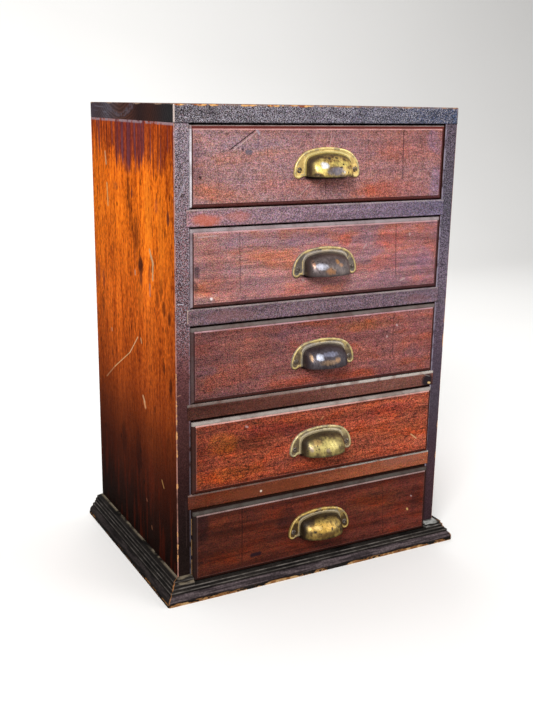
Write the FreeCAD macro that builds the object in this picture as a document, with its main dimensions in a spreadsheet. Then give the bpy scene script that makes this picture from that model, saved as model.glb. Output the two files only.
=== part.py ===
"""Table-top cabinet with five drawers, in millimetres.

The origin is on the floor under the middle of the carcase. X runs to the right, Y to the back and
Z up. The carcase's front face is at Y = -cabinet_depth / 2, and the drawers slide out along -Y.
A drawer's own frame has Y = 0 at the face of its front and Z = 0 at the floor of its opening.
A pull's own frame has its origin on the drawer's face, at the middle of the cup's open lip.
"""

import FreeCAD, Part
import math
import os
import re

import Sketcher

DRAWERS = range(1, 6)
RAILS = range(1, 5)
LEFT, RIGHT = -1, 1
SIDE_NAMES = {LEFT: "left", RIGHT: "right"}

# Driving dimensions: every size that can be set by itself, written once.
DIMENSIONS = {
    # the carcase
    "cabinet_width": 370,
    "cabinet_depth": 274,
    "cabinet_height": 562.5,
    "top_thick": 19,
    "side_thick": 17,
    "bottom_thick": 17.5,
    "back_thick": 9,
    "back_rebate": 8,
    "back_joint": 0.6,
    "back_bevel": 1.5,
    "housing_depth": 4,
    "board_arris": 1,
    # rails, runners and stops
    "rail_thick": 19,
    "rail_depth": 50,
    "rail_arris": 1.2,
    "runner_width": 22,
    "runner_end_gap": 2,
    "stop_width": 30,
    "stop_depth": 12,
    "stop_height": 4,
    "stop_inset": 45,
    "stop_gap": 0.3,
    # the plinth moulding, measured out from the carcase and up from the floor
    "plinth_out": 20,
    "plinth_height": 26.5,
    "plinth_corner": 3,
    "toe_height": 3.5,
    "quirk": 0.8,
    "ovolo_radius": 7,
    "ovolo_out": 14.2,
    "ovolo_top": 11.4,
    "bead_top": 14.3,
    "lower_step_out": 12,
    "middle_step_out": 10.4,
    "upper_step_out": 8.3,
    "step_rise": 2.9,
    "step_fall": 0.8,
    # the drawers
    "front_thick": 17,
    "front_gap_side": 0.7,
    "front_gap_top": 2,
    "front_gap_bottom": 1,
    "edge_width": 4.2,
    "edge_round": 3,
    "field_step": 1,
    "field_arris": 0.4,
    "slide_gap": 0.3,
    "drawer_side": 8,
    "drawer_side_clear": 5,
    "drawer_back": 8,
    "drawer_back_drop": 4,
    "drawer_back_gap": 15,
    "panel_thick": 5,
    "panel_level": 7,
    "panel_gap": 0.2,
    "groove_depth": 4,
    "front_groove_depth": 6,
    "tail_length": 11,
    "tail_slope": 0.14,
    "half_pin": 6,
    "pin_width": 5,
    # how far each drawer stands out of the carcase, and how far in it can go
    "proud_1": 0,
    "proud_2": 1,
    "proud_3": 3,
    "proud_4": 5,
    "proud_5": 7,
    "closed_recess": 1,
    # the cup pulls
    "pull_width": 87,
    "pull_rise": 31.7,
    "pull_shoulder": 26.9,
    "lug_radius": 5.6,
    "lug_level": 2.8,
    "flange_thick": 2.4,
    "rim_width": 2.6,
    "rim_step": 0.7,
    "collar_width": 2,
    "cup_width": 57,
    "cup_rise": 25,
    "cup_shoulder": 13,
    "cup_level": 8,
    "cup_wall": 1.8,
    "pull_shift": 2,
    "pull_drop_1": 12,
    "pull_drop_2": 15,
    "pull_drop_3": 15,
    "pull_drop_4": 15,
    "pull_drop_5": 13,
    # the seats of the pulls' screws
    "screw_spread": 73.4,
    "screw_level": 6.5,
    "screw_head": 6.6,
    "screw_shank": 3.2,
    "screw_gap": 0.2,
}

# Sizes that follow from the driving dimensions.
FRONT = "(-cabinet_depth / 2)"
BACK = "(cabinet_depth / 2)"
HALF = "(cabinet_width / 2)"
INNER = f"({HALF} - side_thick)"
UNDER_TOP = "(cabinet_height - top_thick)"
BACK_FACE = f"({BACK} - back_thick)"
OPENING = f"(({UNDER_TOP} - bottom_thick - 4 * rail_thick) / 5)"
PITCH = f"({OPENING} + rail_thick)"
FRONT_HALF = f"({INNER} - front_gap_side)"
FRONT_TOP = f"({OPENING} - front_gap_top)"
SIDE_LOW = "slide_gap"
SIDE_HIGH = f"(slide_gap + {OPENING} - drawer_side_clear)"
DRAWER_END = "(cabinet_depth - back_thick - drawer_back_gap)"
PANEL_LOW = "(slide_gap + panel_level)"
PANEL_HIGH = f"({PANEL_LOW} + panel_thick)"
REAR_HIGH = f"({SIDE_HIGH} - drawer_back_drop)"
FLANGE_FLOOR = "(flange_thick - rim_step)"

doc = FreeCAD.newDocument("five_drawer_cabinet")
sheet = doc.addObject("Spreadsheet::Sheet", "sizes")
finished = []


def fill_sheet():
    """Write each driving dimension into the sheet as a number with an alias."""
    for row, (alias, number) in enumerate(DIMENSIONS.items(), start=1):
        sheet.set(f"A{row}", alias)
        sheet.set(f"B{row}", str(number))
        sheet.setAlias(f"B{row}", alias)
    doc.recompute()


def bound(expression):
    """Name the sheet in front of every alias of an expression."""
    return re.sub(
        r"[a-z]\w*",
        lambda word: "sizes." + word.group() if word.group() in DIMENSIONS else word.group(),
        expression,
    )


def value(expression):
    """The number that an expression gives with the sheet's present values."""
    result = sheet.evalExpression(bound(expression))
    return float(getattr(result, "Value", result))


def mirrored(side, expression):
    """The expression as it is on the right, and with its sign changed on the left."""
    return expression if side == RIGHT else f"-({expression})"


def floor_of(drawer):
    """The level of the floor of a drawer's opening, drawer 1 being the top one."""
    return f"(bottom_thick + {5 - drawer} * {PITCH})"


def new_body(label, place=("0", "0", "0")):
    """A body whose place in the cabinet follows three expressions."""
    body = doc.addObject("PartDesign::Body", label)
    body.Label = label
    set_place(body, place)
    return body


def set_place(piece, place):
    for axis, expression in zip("xyz", place):
        piece.setExpression(f"Placement.Base.{axis}", bound(expression))


def finish(piece):
    finished.append(piece)
    return piece


def new_sketch(body, role, level="0"):
    """A sketch on one of the body's own planes, moved along that plane's normal by level."""
    planes = [feature for feature in body.Origin.OriginFeatures if feature.Role == role]
    sketch = body.newObject("Sketcher::SketchObject", body.Label + "_sketch")
    sketch.AttachmentSupport = [(planes[0], "")]
    sketch.MapMode = "FlatFace"
    sketch.setExpression("AttachmentOffset.Base.z", bound(level))
    return sketch


def arc_between(start, end, radius, turn):
    """The shorter arc from start to end. It turns to the left when turn is 1."""
    chord = end.sub(start)
    middle = start.add(end).multiply(0.5)
    reach = math.sqrt(max(radius**2 - (chord.Length / 2) ** 2, 0))
    normal = FreeCAD.Vector(-chord.y, chord.x, 0).normalize()
    centre = middle.add(normal.multiply(turn * reach))
    first = math.atan2(start.y - centre.y, start.x - centre.x)
    last = math.atan2(end.y - centre.y, end.x - centre.x)
    circle = Part.Circle(centre, FreeCAD.Vector(0, 0, 1), radius)
    if turn == 1:
        return Part.ArcOfCircle(circle, first, last)
    return Part.ArcOfCircle(circle, last, first)


def outline(sketch, corners):
    """Draw a closed outline through corners whose places follow expressions.

    A corner is (across, up), or (across, up, radius, turn) where the stretch that leaves it is an
    arc. Every corner and radius is held by a constraint that is bound to the sheet.
    """
    points = [FreeCAD.Vector(value(corner[0]), value(corner[1]), 0) for corner in corners]
    ends = []
    for index, corner in enumerate(corners):
        start = points[index]
        end = points[(index + 1) % len(points)]
        if len(corner) == 2:
            edge = sketch.addGeometry(Part.LineSegment(start, end), False)
            ends.append((edge, 1, 2))
            continue
        radius, turn = corner[2], corner[3]
        edge = sketch.addGeometry(arc_between(start, end, value(radius), turn), False)
        ends.append((edge, 1, 2) if turn == 1 else (edge, 2, 1))
        held = sketch.addConstraint(Sketcher.Constraint("Radius", edge, value(radius)))
        sketch.setExpression(f"Constraints[{held}]", bound(radius))
    for index, (edge, first, last) in enumerate(ends):
        following, following_first, _ = ends[(index + 1) % len(ends)]
        sketch.addConstraint(
            Sketcher.Constraint("Coincident", edge, last, following, following_first)
        )
        for kind, expression in zip(("DistanceX", "DistanceY"), corners[index]):
            held = sketch.addConstraint(
                Sketcher.Constraint(kind, -1, 1, edge, first, value(expression))
            )
            sketch.setExpression(f"Constraints[{held}]", bound(expression))


def rectangle(sketch, low, high):
    """A closed rectangle between two corners."""
    outline(sketch, [(low[0], low[1]), (high[0], low[1]), (high[0], high[1]), (low[0], high[1])])


def circle(sketch, centre, radius):
    """A circle whose centre and radius follow expressions."""
    middle = FreeCAD.Vector(value(centre[0]), value(centre[1]), 0)
    geometry = Part.Circle(middle, FreeCAD.Vector(0, 0, 1), value(radius))
    edge = sketch.addGeometry(geometry, False)
    held = sketch.addConstraint(Sketcher.Constraint("Radius", edge, value(radius)))
    sketch.setExpression(f"Constraints[{held}]", bound(radius))
    for kind, expression in zip(("DistanceX", "DistanceY"), centre):
        held = sketch.addConstraint(Sketcher.Constraint(kind, -1, 1, edge, 3, value(expression)))
        sketch.setExpression(f"Constraints[{held}]", bound(expression))


def pad(sketch, length):
    """Extrude a sketch along its normal."""
    body = sketch.getParentGeoFeatureGroup()
    feature = body.newObject("PartDesign::Pad", sketch.Label + "_pad")
    feature.Profile = sketch
    feature.setExpression("Length", bound(length))
    doc.recompute()
    return feature


def check_cut(body, volume_before):
    """A cut that points away from the solid changes nothing, so its volume is compared."""
    if body.Tip.Shape.Volume > volume_before - 1e-3:
        raise RuntimeError(f"a cut in {body.Label} removed nothing")


def pocket(sketch, depth, along_normal=False):
    """Cut a sketch into its body, against the sketch's normal unless told otherwise."""
    body = sketch.getParentGeoFeatureGroup()
    before = body.Tip.Shape.Volume
    feature = body.newObject("PartDesign::Pocket", sketch.Label + "_pocket")
    feature.Profile = sketch
    feature.setExpression("Length", bound(depth))
    feature.Reversed = along_normal
    doc.recompute()
    check_cut(body, before)
    return feature


def turned(sketch, kind, angle, axis="H_Axis", opposite=False):
    """Revolve a sketch about one of its own axes."""
    body = sketch.getParentGeoFeatureGroup()
    feature = body.newObject("PartDesign::" + kind, sketch.Label + "_turned")
    feature.Profile = sketch
    feature.ReferenceAxis = (sketch, [axis])
    feature.Angle = angle
    feature.Reversed = opposite
    doc.recompute()
    return feature


def soften(body, kind, size, chosen):
    """Round or chamfer the edges of the body's tip that the test named chosen picks."""
    names = [
        f"Edge{number}"
        for number, edge in enumerate(body.Tip.Shape.Edges, start=1)
        if chosen(edge.BoundBox)
    ]
    if not names:
        raise RuntimeError(f"no edge of {body.Label} was chosen")
    base = body.Tip
    feature = body.newObject("PartDesign::" + kind, body.Label + "_" + kind.lower())
    feature.Base = (base, names)
    feature.setExpression("Radius" if kind == "Fillet" else "Size", bound(size))
    doc.recompute()
    return feature


def near(number, target):
    return abs(number - target) < 1e-3


def along(box, axis):
    """Whether an edge's box is a straight line along one axis."""
    spans = {"x": box.XLength, "y": box.YLength, "z": box.ZLength}
    return all((span > 1e-3) == (name == axis) for name, span in spans.items())


def board(label, low, high):
    """A plain board between two corners of the cabinet's frame."""
    body = new_body(label, ("0", "0", low[2]))
    sketch = new_sketch(body, "XY_Plane")
    rectangle(sketch, low[:2], high[:2])
    pad(sketch, f"{high[2]} - {low[2]}")
    return body


def top_board():
    """The top lies over the sides and has a rebate for the back boards."""
    body = board("top_board", (f"-{HALF}", FRONT, UNDER_TOP), (HALF, BACK, "cabinet_height"))
    rebate = new_sketch(body, "XY_Plane")
    reach = f"({INNER} + back_rebate)"
    rectangle(rebate, (f"-{reach}", BACK_FACE), (reach, BACK))
    pocket(rebate, "back_rebate", along_normal=True)
    thick = value("top_thick")
    front = value(FRONT)
    half = value(HALF)
    soften(
        body,
        "Fillet",
        "board_arris",
        lambda box: near(box.ZMin, thick)
        and (near(box.YMax, front) or near(box.XMin, half) or near(box.XMax, -half)),
    )
    finish(body)


def side_board(side):
    """A side, with housings for the rails and the bottom board and a rebate for the back."""
    body = new_body(SIDE_NAMES[side] + "_side")
    outer_face = f"-{HALF}" if side == LEFT else INNER
    panel = new_sketch(body, "YZ_Plane", outer_face)
    rectangle(panel, (FRONT, "0"), (BACK, UNDER_TOP))
    pad(panel, "side_thick")

    housings = new_sketch(body, "YZ_Plane", mirrored(side, INNER))
    rectangle(housings, (FRONT, "0"), (BACK_FACE, "bottom_thick"))
    for rail in RAILS:
        level = floor_of(rail)
        rectangle(housings, (FRONT, f"{level} - rail_thick"), (f"{FRONT} + rail_depth", level))
    pocket(housings, "housing_depth", along_normal=side == RIGHT)

    rebate = new_sketch(body, "YZ_Plane", mirrored(side, INNER))
    rectangle(rebate, (BACK_FACE, "0"), (BACK, UNDER_TOP))
    pocket(rebate, "back_rebate", along_normal=side == RIGHT)

    front = value(FRONT)
    outer = side * value(HALF)
    soften(
        body,
        "Fillet",
        "board_arris",
        lambda box: along(box, "z") and near(box.YMin, front) and near(box.XMin, outer),
    )
    finish(body)


def bottom_board():
    """The bottom board is let into the sides and stands on the floor."""
    reach = f"({INNER} + housing_depth)"
    finish(board("bottom_board", (f"-{reach}", FRONT, "0"), (reach, BACK_FACE, "bottom_thick")))


def back_boards():
    """Three boards close the back. Their meeting edges are bevelled on the outside."""
    height = f"(({UNDER_TOP} + back_rebate - 2 * back_joint) / 3)"
    reach = f"({INNER} + back_rebate - back_joint / 2)"
    back = value(BACK)
    for number, name in enumerate(("lower", "middle", "upper")):
        low = f"({number} * ({height} + back_joint))"
        body = board(
            f"back_board_{name}", (f"-{reach}", BACK_FACE, low), (reach, BACK, f"({low} + {height})")
        )
        soften(
            body,
            "Chamfer",
            "back_bevel",
            lambda box: along(box, "x") and near(box.YMin, back),
        )
        finish(body)


def drawer_rail(rail):
    """A rail under drawer number rail, let into both stiles from the front."""
    level = floor_of(rail)
    reach = f"({INNER} + housing_depth)"
    body = board(
        f"drawer_rail_{rail}",
        (f"-{reach}", FRONT, f"({level} - rail_thick)"),
        (reach, f"{FRONT} + rail_depth", level),
    )
    front = value(FRONT)
    soften(
        body, "Fillet", "rail_arris", lambda box: along(box, "x") and near(box.YMax, front)
    )
    finish(body)


def runner(rail, side):
    """A runner behind a rail, on the side board, level with the rail."""
    level = floor_of(rail)
    near_edge = mirrored(side, INNER)
    far_edge = mirrored(side, f"({INNER} - runner_width)")
    low_x, high_x = (near_edge, far_edge) if side == LEFT else (far_edge, near_edge)
    body = board(
        f"{SIDE_NAMES[side]}_runner_{rail}",
        (low_x, f"{FRONT} + rail_depth", f"({level} - rail_thick)"),
        (high_x, f"{BACK_FACE} - runner_end_gap", level),
    )
    finish(body)


def drawer_stops():
    """Two blocks stand on the floor of each opening and meet the back of the drawer's front."""
    body = new_body("drawer_stops", ("0", "0", "bottom_thick"))
    body.AllowCompound = True
    face = f"({FRONT} + closed_recess + front_thick + stop_gap)"
    blocks = new_sketch(body, "XY_Plane")
    for side in (LEFT, RIGHT):
        near_edge = mirrored(side, f"({INNER} - stop_inset - stop_width)")
        far_edge = mirrored(side, f"({INNER} - stop_inset)")
        low_x, high_x = (far_edge, near_edge) if side == LEFT else (near_edge, far_edge)
        rectangle(blocks, (low_x, face), (high_x, f"{face} + stop_depth"))
    first = pad(blocks, "stop_height")
    levels = body.newObject("PartDesign::LinearPattern", "drawer_stop_levels")
    levels.Originals = [first]
    levels.Direction = (blocks, ["N_Axis"])
    levels.Occurrences = len(DRAWERS)
    levels.setExpression("Length", bound(f"{len(RAILS)} * {PITCH}"))
    body.Tip = levels
    doc.recompute()
    finish(body)


def plinth_profile(sketch, out):
    """The moulding's section: toe, ovolo, bead and three steps.

    The expression that out returns for a distance from the carcase is the coordinate across.
    """
    upper = f"bottom_thick + 2 * step_rise + 2 * step_fall"
    middle = f"bottom_thick + step_rise + step_fall"
    turn = 1 if value(out("1")) > value(out("0")) else -1
    outline(
        sketch,
        [
            (out("0"), "0"),
            (out("plinth_out"), "0"),
            (out("plinth_out"), "toe_height"),
            (out("(plinth_out - quirk)"), "toe_height", "ovolo_radius", turn),
            (out("ovolo_out"), "ovolo_top"),
            (out("(ovolo_out + quirk)"), "ovolo_top"),
            (out("(ovolo_out + quirk)"), "bead_top"),
            (out("lower_step_out"), "bead_top + step_fall"),
            (out("lower_step_out"), "bottom_thick"),
            (out("middle_step_out"), "bottom_thick + step_fall"),
            (out("middle_step_out"), middle),
            (out("upper_step_out"), f"{middle} + step_fall"),
            (out("upper_step_out"), upper),
            (out("0"), "plinth_height"),
        ],
    )


def mitre(body, side, keeps_front):
    """Cut a plinth piece along the corner's mitre and round the corner in plan."""
    slack = "(plinth_out + 1)"
    bevel = f"plinth_corner * {math.sqrt(0.5)}"
    across = [
        ("0", "0"),
        (f"plinth_out - plinth_corner + {bevel}", f"plinth_out - plinth_corner + {bevel}"),
    ]
    if keeps_front:
        across.append(("plinth_out - plinth_corner", "plinth_out"))
        across += [("plinth_out - plinth_corner", slack), (slack, slack), (slack, "0")]
    else:
        across.append(("plinth_out", "plinth_out - plinth_corner"))
        across += [(slack, "plinth_out - plinth_corner"), (slack, slack), ("0", slack)]
    turn = (-1 if keeps_front else 1) * side
    corners = []
    for index, (sideways, forward) in enumerate(across):
        point = (mirrored(side, f"({HALF} + {sideways})"), f"{FRONT} - ({forward})")
        corners.append(point + ("plinth_corner", turn) if index == 1 else point)
    cut = new_sketch(body, "XY_Plane")
    outline(cut, corners)
    pocket(cut, "plinth_height + 1", along_normal=True)


def plinth_front():
    """The front plinth. Its top members are cut away so that the bottom drawer can slide."""
    reach = f"({HALF} + plinth_out)"
    body = new_body("plinth_front")
    section = new_sketch(body, "YZ_Plane", f"-{reach}")
    plinth_profile(section, lambda distance: f"({FRONT} - {distance})")
    pad(section, f"2 * {reach}")
    for side in (LEFT, RIGHT):
        mitre(body, side, keeps_front=True)
    notch = new_sketch(body, "XZ_Plane", f"-{FRONT}")
    rectangle(notch, (f"-{INNER}", "bottom_thick"), (INNER, "plinth_height + 1"))
    pocket(notch, "plinth_out", along_normal=True)
    finish(body)


def plinth_return(side):
    """A side plinth, from the back of the cabinet to the front corner's mitre."""
    body = new_body(f"plinth_{SIDE_NAMES[side]}")
    section = new_sketch(body, "XZ_Plane", f"-{BACK}")
    plinth_profile(section, lambda distance: mirrored(side, f"({HALF} + {distance})"))
    pad(section, "cabinet_depth + plinth_out")
    mitre(body, side, keeps_front=False)
    finish(body)


def tails(low, high, count):
    """The lowest and highest point of each dovetail's tip between two levels."""
    tip = f"(({high} - {low} - 2 * half_pin - {count - 1} * pin_width) / {count})"
    lows = [f"({low} + half_pin + {number} * ({tip} + pin_width))" for number in range(count)]
    return [(start, f"({start} + {tip})") for start in lows]


FRONT_TAILS = tails(SIDE_LOW, SIDE_HIGH, 3)
REAR_TAILS = tails(PANEL_HIGH, REAR_HIGH, 2)


def cut_sockets(body, joints, root, tip, length):
    """Cut the tails' sockets into both ends of a drawer's front or back."""
    narrowing = f"{length} * tail_slope"
    for side in (LEFT, RIGHT):
        sockets = new_sketch(body, "YZ_Plane", mirrored(side, FRONT_HALF))
        for low, high in joints:
            outline(
                sockets,
                [
                    (root, f"{low} + {narrowing}"),
                    (root, f"{high} - {narrowing}"),
                    (tip, high),
                    (tip, low),
                ],
            )
        pocket(sockets, "drawer_side", along_normal=side == LEFT)


def drawer_place(drawer):
    return ("0", f"{FRONT} - proud_{drawer}", floor_of(drawer))


def pull_level(drawer):
    """The height of a pull's lip above the floor of its drawer's opening."""
    return f"((front_gap_bottom + {FRONT_TOP}) / 2 - pull_drop_{drawer})"


def drawer_front(drawer):
    """A front with a thumbnail edge, sockets for the sides' tails and a groove for the bottom."""
    body = new_body(f"drawer_{drawer}_front", drawer_place(drawer))
    blank = new_sketch(body, "XZ_Plane", "-front_thick")
    rectangle(blank, (f"-{FRONT_HALF}", "front_gap_bottom"), (FRONT_HALF, FRONT_TOP))
    pad(blank, "front_thick - field_step")
    step = value("field_step")
    soften(
        body,
        "Fillet",
        "edge_round",
        lambda box: near(box.YMin, step) and near(box.YMax, step),
    )
    field = new_sketch(body, "XZ_Plane", "-field_step")
    rectangle(
        field,
        (f"-({FRONT_HALF} - edge_width)", "front_gap_bottom + edge_width"),
        (f"{FRONT_HALF} - edge_width", f"{FRONT_TOP} - edge_width"),
    )
    pad(field, "field_step")
    soften(body, "Chamfer", "field_arris", lambda box: near(box.YMin, 0) and near(box.YMax, 0))

    cut_sockets(body, FRONT_TAILS, "front_thick", "front_thick - tail_length", "tail_length")
    groove = new_sketch(body, "XZ_Plane", "-front_thick")
    reach = f"({FRONT_HALF} - drawer_side + groove_depth)"
    rectangle(groove, (f"-{reach}", PANEL_LOW), (reach, PANEL_HIGH))
    pocket(groove, "front_groove_depth", along_normal=True)

    finish(body)


def drawer_side(drawer, side):
    """A drawer side with tails at both ends and a groove for the bottom panel."""
    body = new_body(f"drawer_{drawer}_{SIDE_NAMES[side]}_side", drawer_place(drawer))
    narrowing = "tail_length * tail_slope"
    corners = [("front_thick", SIDE_LOW), (DRAWER_END, SIDE_LOW), (DRAWER_END, PANEL_HIGH)]
    shoulder = f"({DRAWER_END} - drawer_back)"
    rear_narrowing = "drawer_back * tail_slope"
    corners.append((shoulder, PANEL_HIGH))
    for low, high in REAR_TAILS:
        corners.append((shoulder, f"{low} + {rear_narrowing}"))
        corners += [(DRAWER_END, low), (DRAWER_END, high)]
        corners.append((shoulder, f"{high} - {rear_narrowing}"))
    corners += [(shoulder, REAR_HIGH), (DRAWER_END, REAR_HIGH), (DRAWER_END, SIDE_HIGH)]
    corners.append(("front_thick", SIDE_HIGH))
    for low, high in reversed(FRONT_TAILS):
        corners.append(("front_thick", f"{high} - {narrowing}"))
        corners += [("front_thick - tail_length", high), ("front_thick - tail_length", low)]
        corners.append(("front_thick", f"{low} + {narrowing}"))
    outer_face = f"-{FRONT_HALF}" if side == LEFT else f"({FRONT_HALF} - drawer_side)"
    panel = new_sketch(body, "YZ_Plane", outer_face)
    outline(panel, corners)
    pad(panel, "drawer_side")

    groove = new_sketch(body, "YZ_Plane", mirrored(side, f"({FRONT_HALF} - drawer_side)"))
    rectangle(groove, ("0", PANEL_LOW), (DRAWER_END, PANEL_HIGH))
    pocket(groove, "groove_depth", along_normal=side == RIGHT)
    finish(body)


def drawer_back(drawer):
    """The drawer's back stands on the bottom panel, between and behind the sides' tails."""
    body = new_body(f"drawer_{drawer}_back", drawer_place(drawer))
    blank = new_sketch(body, "XZ_Plane", f"-{DRAWER_END}")
    rectangle(blank, (f"-{FRONT_HALF}", PANEL_HIGH), (FRONT_HALF, REAR_HIGH))
    pad(blank, "drawer_back")
    cut_sockets(body, REAR_TAILS, f"{DRAWER_END} - drawer_back", DRAWER_END, "drawer_back")
    finish(body)


def drawer_bottom(drawer):
    """The bottom panel slides into the grooves from behind, under the drawer's back."""
    body = new_body(f"drawer_{drawer}_bottom", drawer_place(drawer))
    reach = f"({FRONT_HALF} - drawer_side + groove_depth - panel_gap)"
    panel = new_sketch(body, "XY_Plane", PANEL_LOW)
    front_edge = "front_thick - front_groove_depth + panel_gap"
    rectangle(panel, (f"-{reach}", front_edge), (reach, DRAWER_END))
    pad(panel, "panel_thick")
    finish(body)


def pull_place(drawer):
    return ("pull_shift", f"{FRONT} - proud_{drawer}", f"{floor_of(drawer)} + {pull_level(drawer)}")


def arch(half_width, rise, shoulder, level):
    """The right half of a three-centred arch: where its arcs meet, and its crown's radius."""
    aside = f"({half_width} - {shoulder})"
    above = f"({rise} - {level})"
    crown = f"(({aside}^2 + {above}^2 - {shoulder}^2) / (2 * ({above} - {shoulder})))"
    share = f"({crown} / ({crown} - {shoulder}))"
    meeting = (f"{aside} * {share}", f"{rise} - {crown} + ({level} - {rise} + {crown}) * {share}")
    return meeting, crown


def flange_outline(sketch, inset):
    """The flange: a three-centred arch on two round lugs, all moved inwards by inset."""
    half = f"(pull_width / 2 - {inset})"
    shoulder = f"(pull_shoulder - {inset})"
    lug = f"(lug_radius - {inset})"
    meeting, crown = arch(half, f"(pull_rise - {inset})", shoulder, "lug_level")
    lug_centre = "(pull_width / 2 - lug_radius)"
    foot = f"({lug_centre} - sqrt({lug}^2 - (lug_level - {inset})^2))"
    outline(
        sketch,
        [
            (foot, inset, lug, 1),
            (half, "lug_level", shoulder, 1),
            (meeting[0], meeting[1], crown, 1),
            (f"-({meeting[0]})", meeting[1], shoulder, 1),
            (f"-{half}", "lug_level", lug, 1),
            (f"-{foot}", inset),
        ],
    )


def cup_outline(sketch, inset):
    """Half of the cup's section, which is turned about its straight edge."""
    half = f"(cup_width / 2 - {inset})"
    shoulder = f"(cup_shoulder - {inset})"
    meeting, crown = arch(half, f"(cup_rise - {inset})", shoulder, "cup_level")
    outline(
        sketch,
        [
            (f"-{half}", "0"),
            (half, "0"),
            (half, "cup_level", shoulder, 1),
            (meeting[0], meeting[1], crown, 1),
            (f"-({meeting[0]})", meeting[1], shoulder, 1),
            (f"-{half}", "cup_level"),
        ],
    )


def cup_pull(drawer):
    """A cast cup pull: a flange with a raised rim, and a hollow cup with a collar at its root."""
    body = new_body(f"drawer_{drawer}_pull", pull_place(drawer))
    flange = new_sketch(body, "XZ_Plane")
    flange_outline(flange, "0")
    pad(flange, FLANGE_FLOOR)
    cup = new_sketch(body, "XZ_Plane")
    cup_outline(cup, "0")
    turned(cup, "Revolution", 90)
    rim = new_sketch(body, "XZ_Plane", FLANGE_FLOOR)
    flange_outline(rim, "0")
    flange_outline(rim, "rim_width")
    pad(rim, "rim_step")
    collar = new_sketch(body, "XZ_Plane", FLANGE_FLOOR)
    cup_outline(collar, "-collar_width")
    pad(collar, "rim_step")
    hollow = new_sketch(body, "XZ_Plane")
    cup_outline(hollow, "cup_wall")
    before = body.Tip.Shape.Volume
    turned(hollow, "Groove", 90)
    check_cut(body, before)

    seats = new_sketch(body, "XZ_Plane", FLANGE_FLOOR)
    for side in (LEFT, RIGHT):
        circle(seats, (f"{side} * screw_spread / 2", "screw_level"), "screw_shank / 2")
    before = body.Tip.Shape.Volume
    holes = body.newObject("PartDesign::Hole", f"drawer_{drawer}_pull_holes")
    holes.Profile = seats
    doc.recompute()
    holes.DepthType = "ThroughAll"
    holes.HoleCutType = "Countersink"
    holes.HoleCutCustomValues = True
    holes.HoleCutCountersinkAngle = 90
    holes.setExpression("Diameter", bound("screw_shank + 2 * screw_gap"))
    holes.setExpression("HoleCutDiameter", bound("screw_head + screw_gap"))
    doc.recompute()
    check_cut(body, before)
    finish(body)


def carcase():
    top_board()
    for side in (LEFT, RIGHT):
        side_board(side)
    bottom_board()
    back_boards()
    for rail in RAILS:
        drawer_rail(rail)
        for side in (LEFT, RIGHT):
            runner(rail, side)
    drawer_stops()
    plinth_front()
    for side in (LEFT, RIGHT):
        plinth_return(side)


def drawer_set(drawer):
    drawer_front(drawer)
    for side in (LEFT, RIGHT):
        drawer_side(drawer, side)
    drawer_back(drawer)
    drawer_bottom(drawer)
    cup_pull(drawer)


def check_document():
    """Stop if anything in the document failed or a sub-part has no valid solid."""
    doc.recompute()
    for item in doc.Objects:
        if "Invalid" in item.State or "Error" in item.State:
            raise RuntimeError(f"{item.Label} is in state {item.State}")
    for piece in finished:
        if piece.Shape.isNull() or not piece.Shape.isValid() or not piece.Shape.Solids:
            raise RuntimeError(f"{piece.Label} has no valid solid")


def export():
    os.makedirs("parts", exist_ok=True)
    for piece in finished:
        piece.Shape.exportStep(f"parts/{piece.Label}.step")


fill_sheet()
carcase()
for drawer_number in DRAWERS:
    drawer_set(drawer_number)
check_document()
export()
print(len(finished), "sub-parts")
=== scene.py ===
"""The looks of an old five-drawer table-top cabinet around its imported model, in metres.

Every material is written as nodes over each part's own coordinates, which are the cabinet's
coordinates at rest, so a mark stays on its board when a drawer slides.
"""

import math
import random

import bpy
import bmesh
from mathutils import Matrix, Vector


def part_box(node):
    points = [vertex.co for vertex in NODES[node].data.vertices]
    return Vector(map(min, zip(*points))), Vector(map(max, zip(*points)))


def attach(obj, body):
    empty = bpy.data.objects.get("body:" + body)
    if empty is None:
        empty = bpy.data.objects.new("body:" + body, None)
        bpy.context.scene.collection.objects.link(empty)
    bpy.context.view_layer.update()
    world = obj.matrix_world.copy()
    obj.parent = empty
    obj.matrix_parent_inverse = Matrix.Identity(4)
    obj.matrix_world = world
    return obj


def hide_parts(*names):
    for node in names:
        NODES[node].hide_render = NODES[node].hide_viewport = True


MM = 0.001

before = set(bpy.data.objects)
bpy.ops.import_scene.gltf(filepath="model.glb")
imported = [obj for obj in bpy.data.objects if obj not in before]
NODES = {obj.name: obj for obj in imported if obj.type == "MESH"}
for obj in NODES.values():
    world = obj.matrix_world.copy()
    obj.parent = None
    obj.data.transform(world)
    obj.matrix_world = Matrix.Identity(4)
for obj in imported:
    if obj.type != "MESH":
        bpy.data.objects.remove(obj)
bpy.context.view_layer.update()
DRAWERS = range(1, 6)
RAILS = range(1, 5)
SIDES = ("left", "right")
BACK_BOARDS = ("lower", "middle", "upper")

# The carcase's faces, and how wide a stile is.
side_low, side_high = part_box("left_side")
top_low, top_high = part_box("top_board")
LEFT, FRONT = side_low.x, side_low.y
RIGHT = -LEFT
STILE = side_high.x - LEFT
UNDER_TOP, HEIGHT = top_low.z, top_high.z
# The colour of a face gives way to the next one's between these depths behind the face.
SKIN, SKIN_END = 1.4 * MM, 0.6 * MM
# The marks on the boards were measured from a level this many millimetres above the table.
MARK_LEVEL = 2.5

# The pull, in millimetres: its flange, its cup and the lugs beside the cup's foot.
PULL_HALF, PULL_RISE, PULL_SHOULDER = 43.5, 31.7, 26.9
LUG, LUG_LEVEL = 5.6, 2.8
CUP_HALF, CUP_RISE, CUP_WALL = 28.5, 25, 1.8
CUP_ROOT = dict(shoulder=8.5, level=13.5)
CUP_LIP = dict(shoulder=13, level=8)
# Levels on the pull, in metres: the plate, the beads' top, and the cup's lip over the lowest point.
FLANGE, BEAD_TOP, LIP_LEVEL = 1.7 * MM, 2.4 * MM, 2.8 * MM
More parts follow.
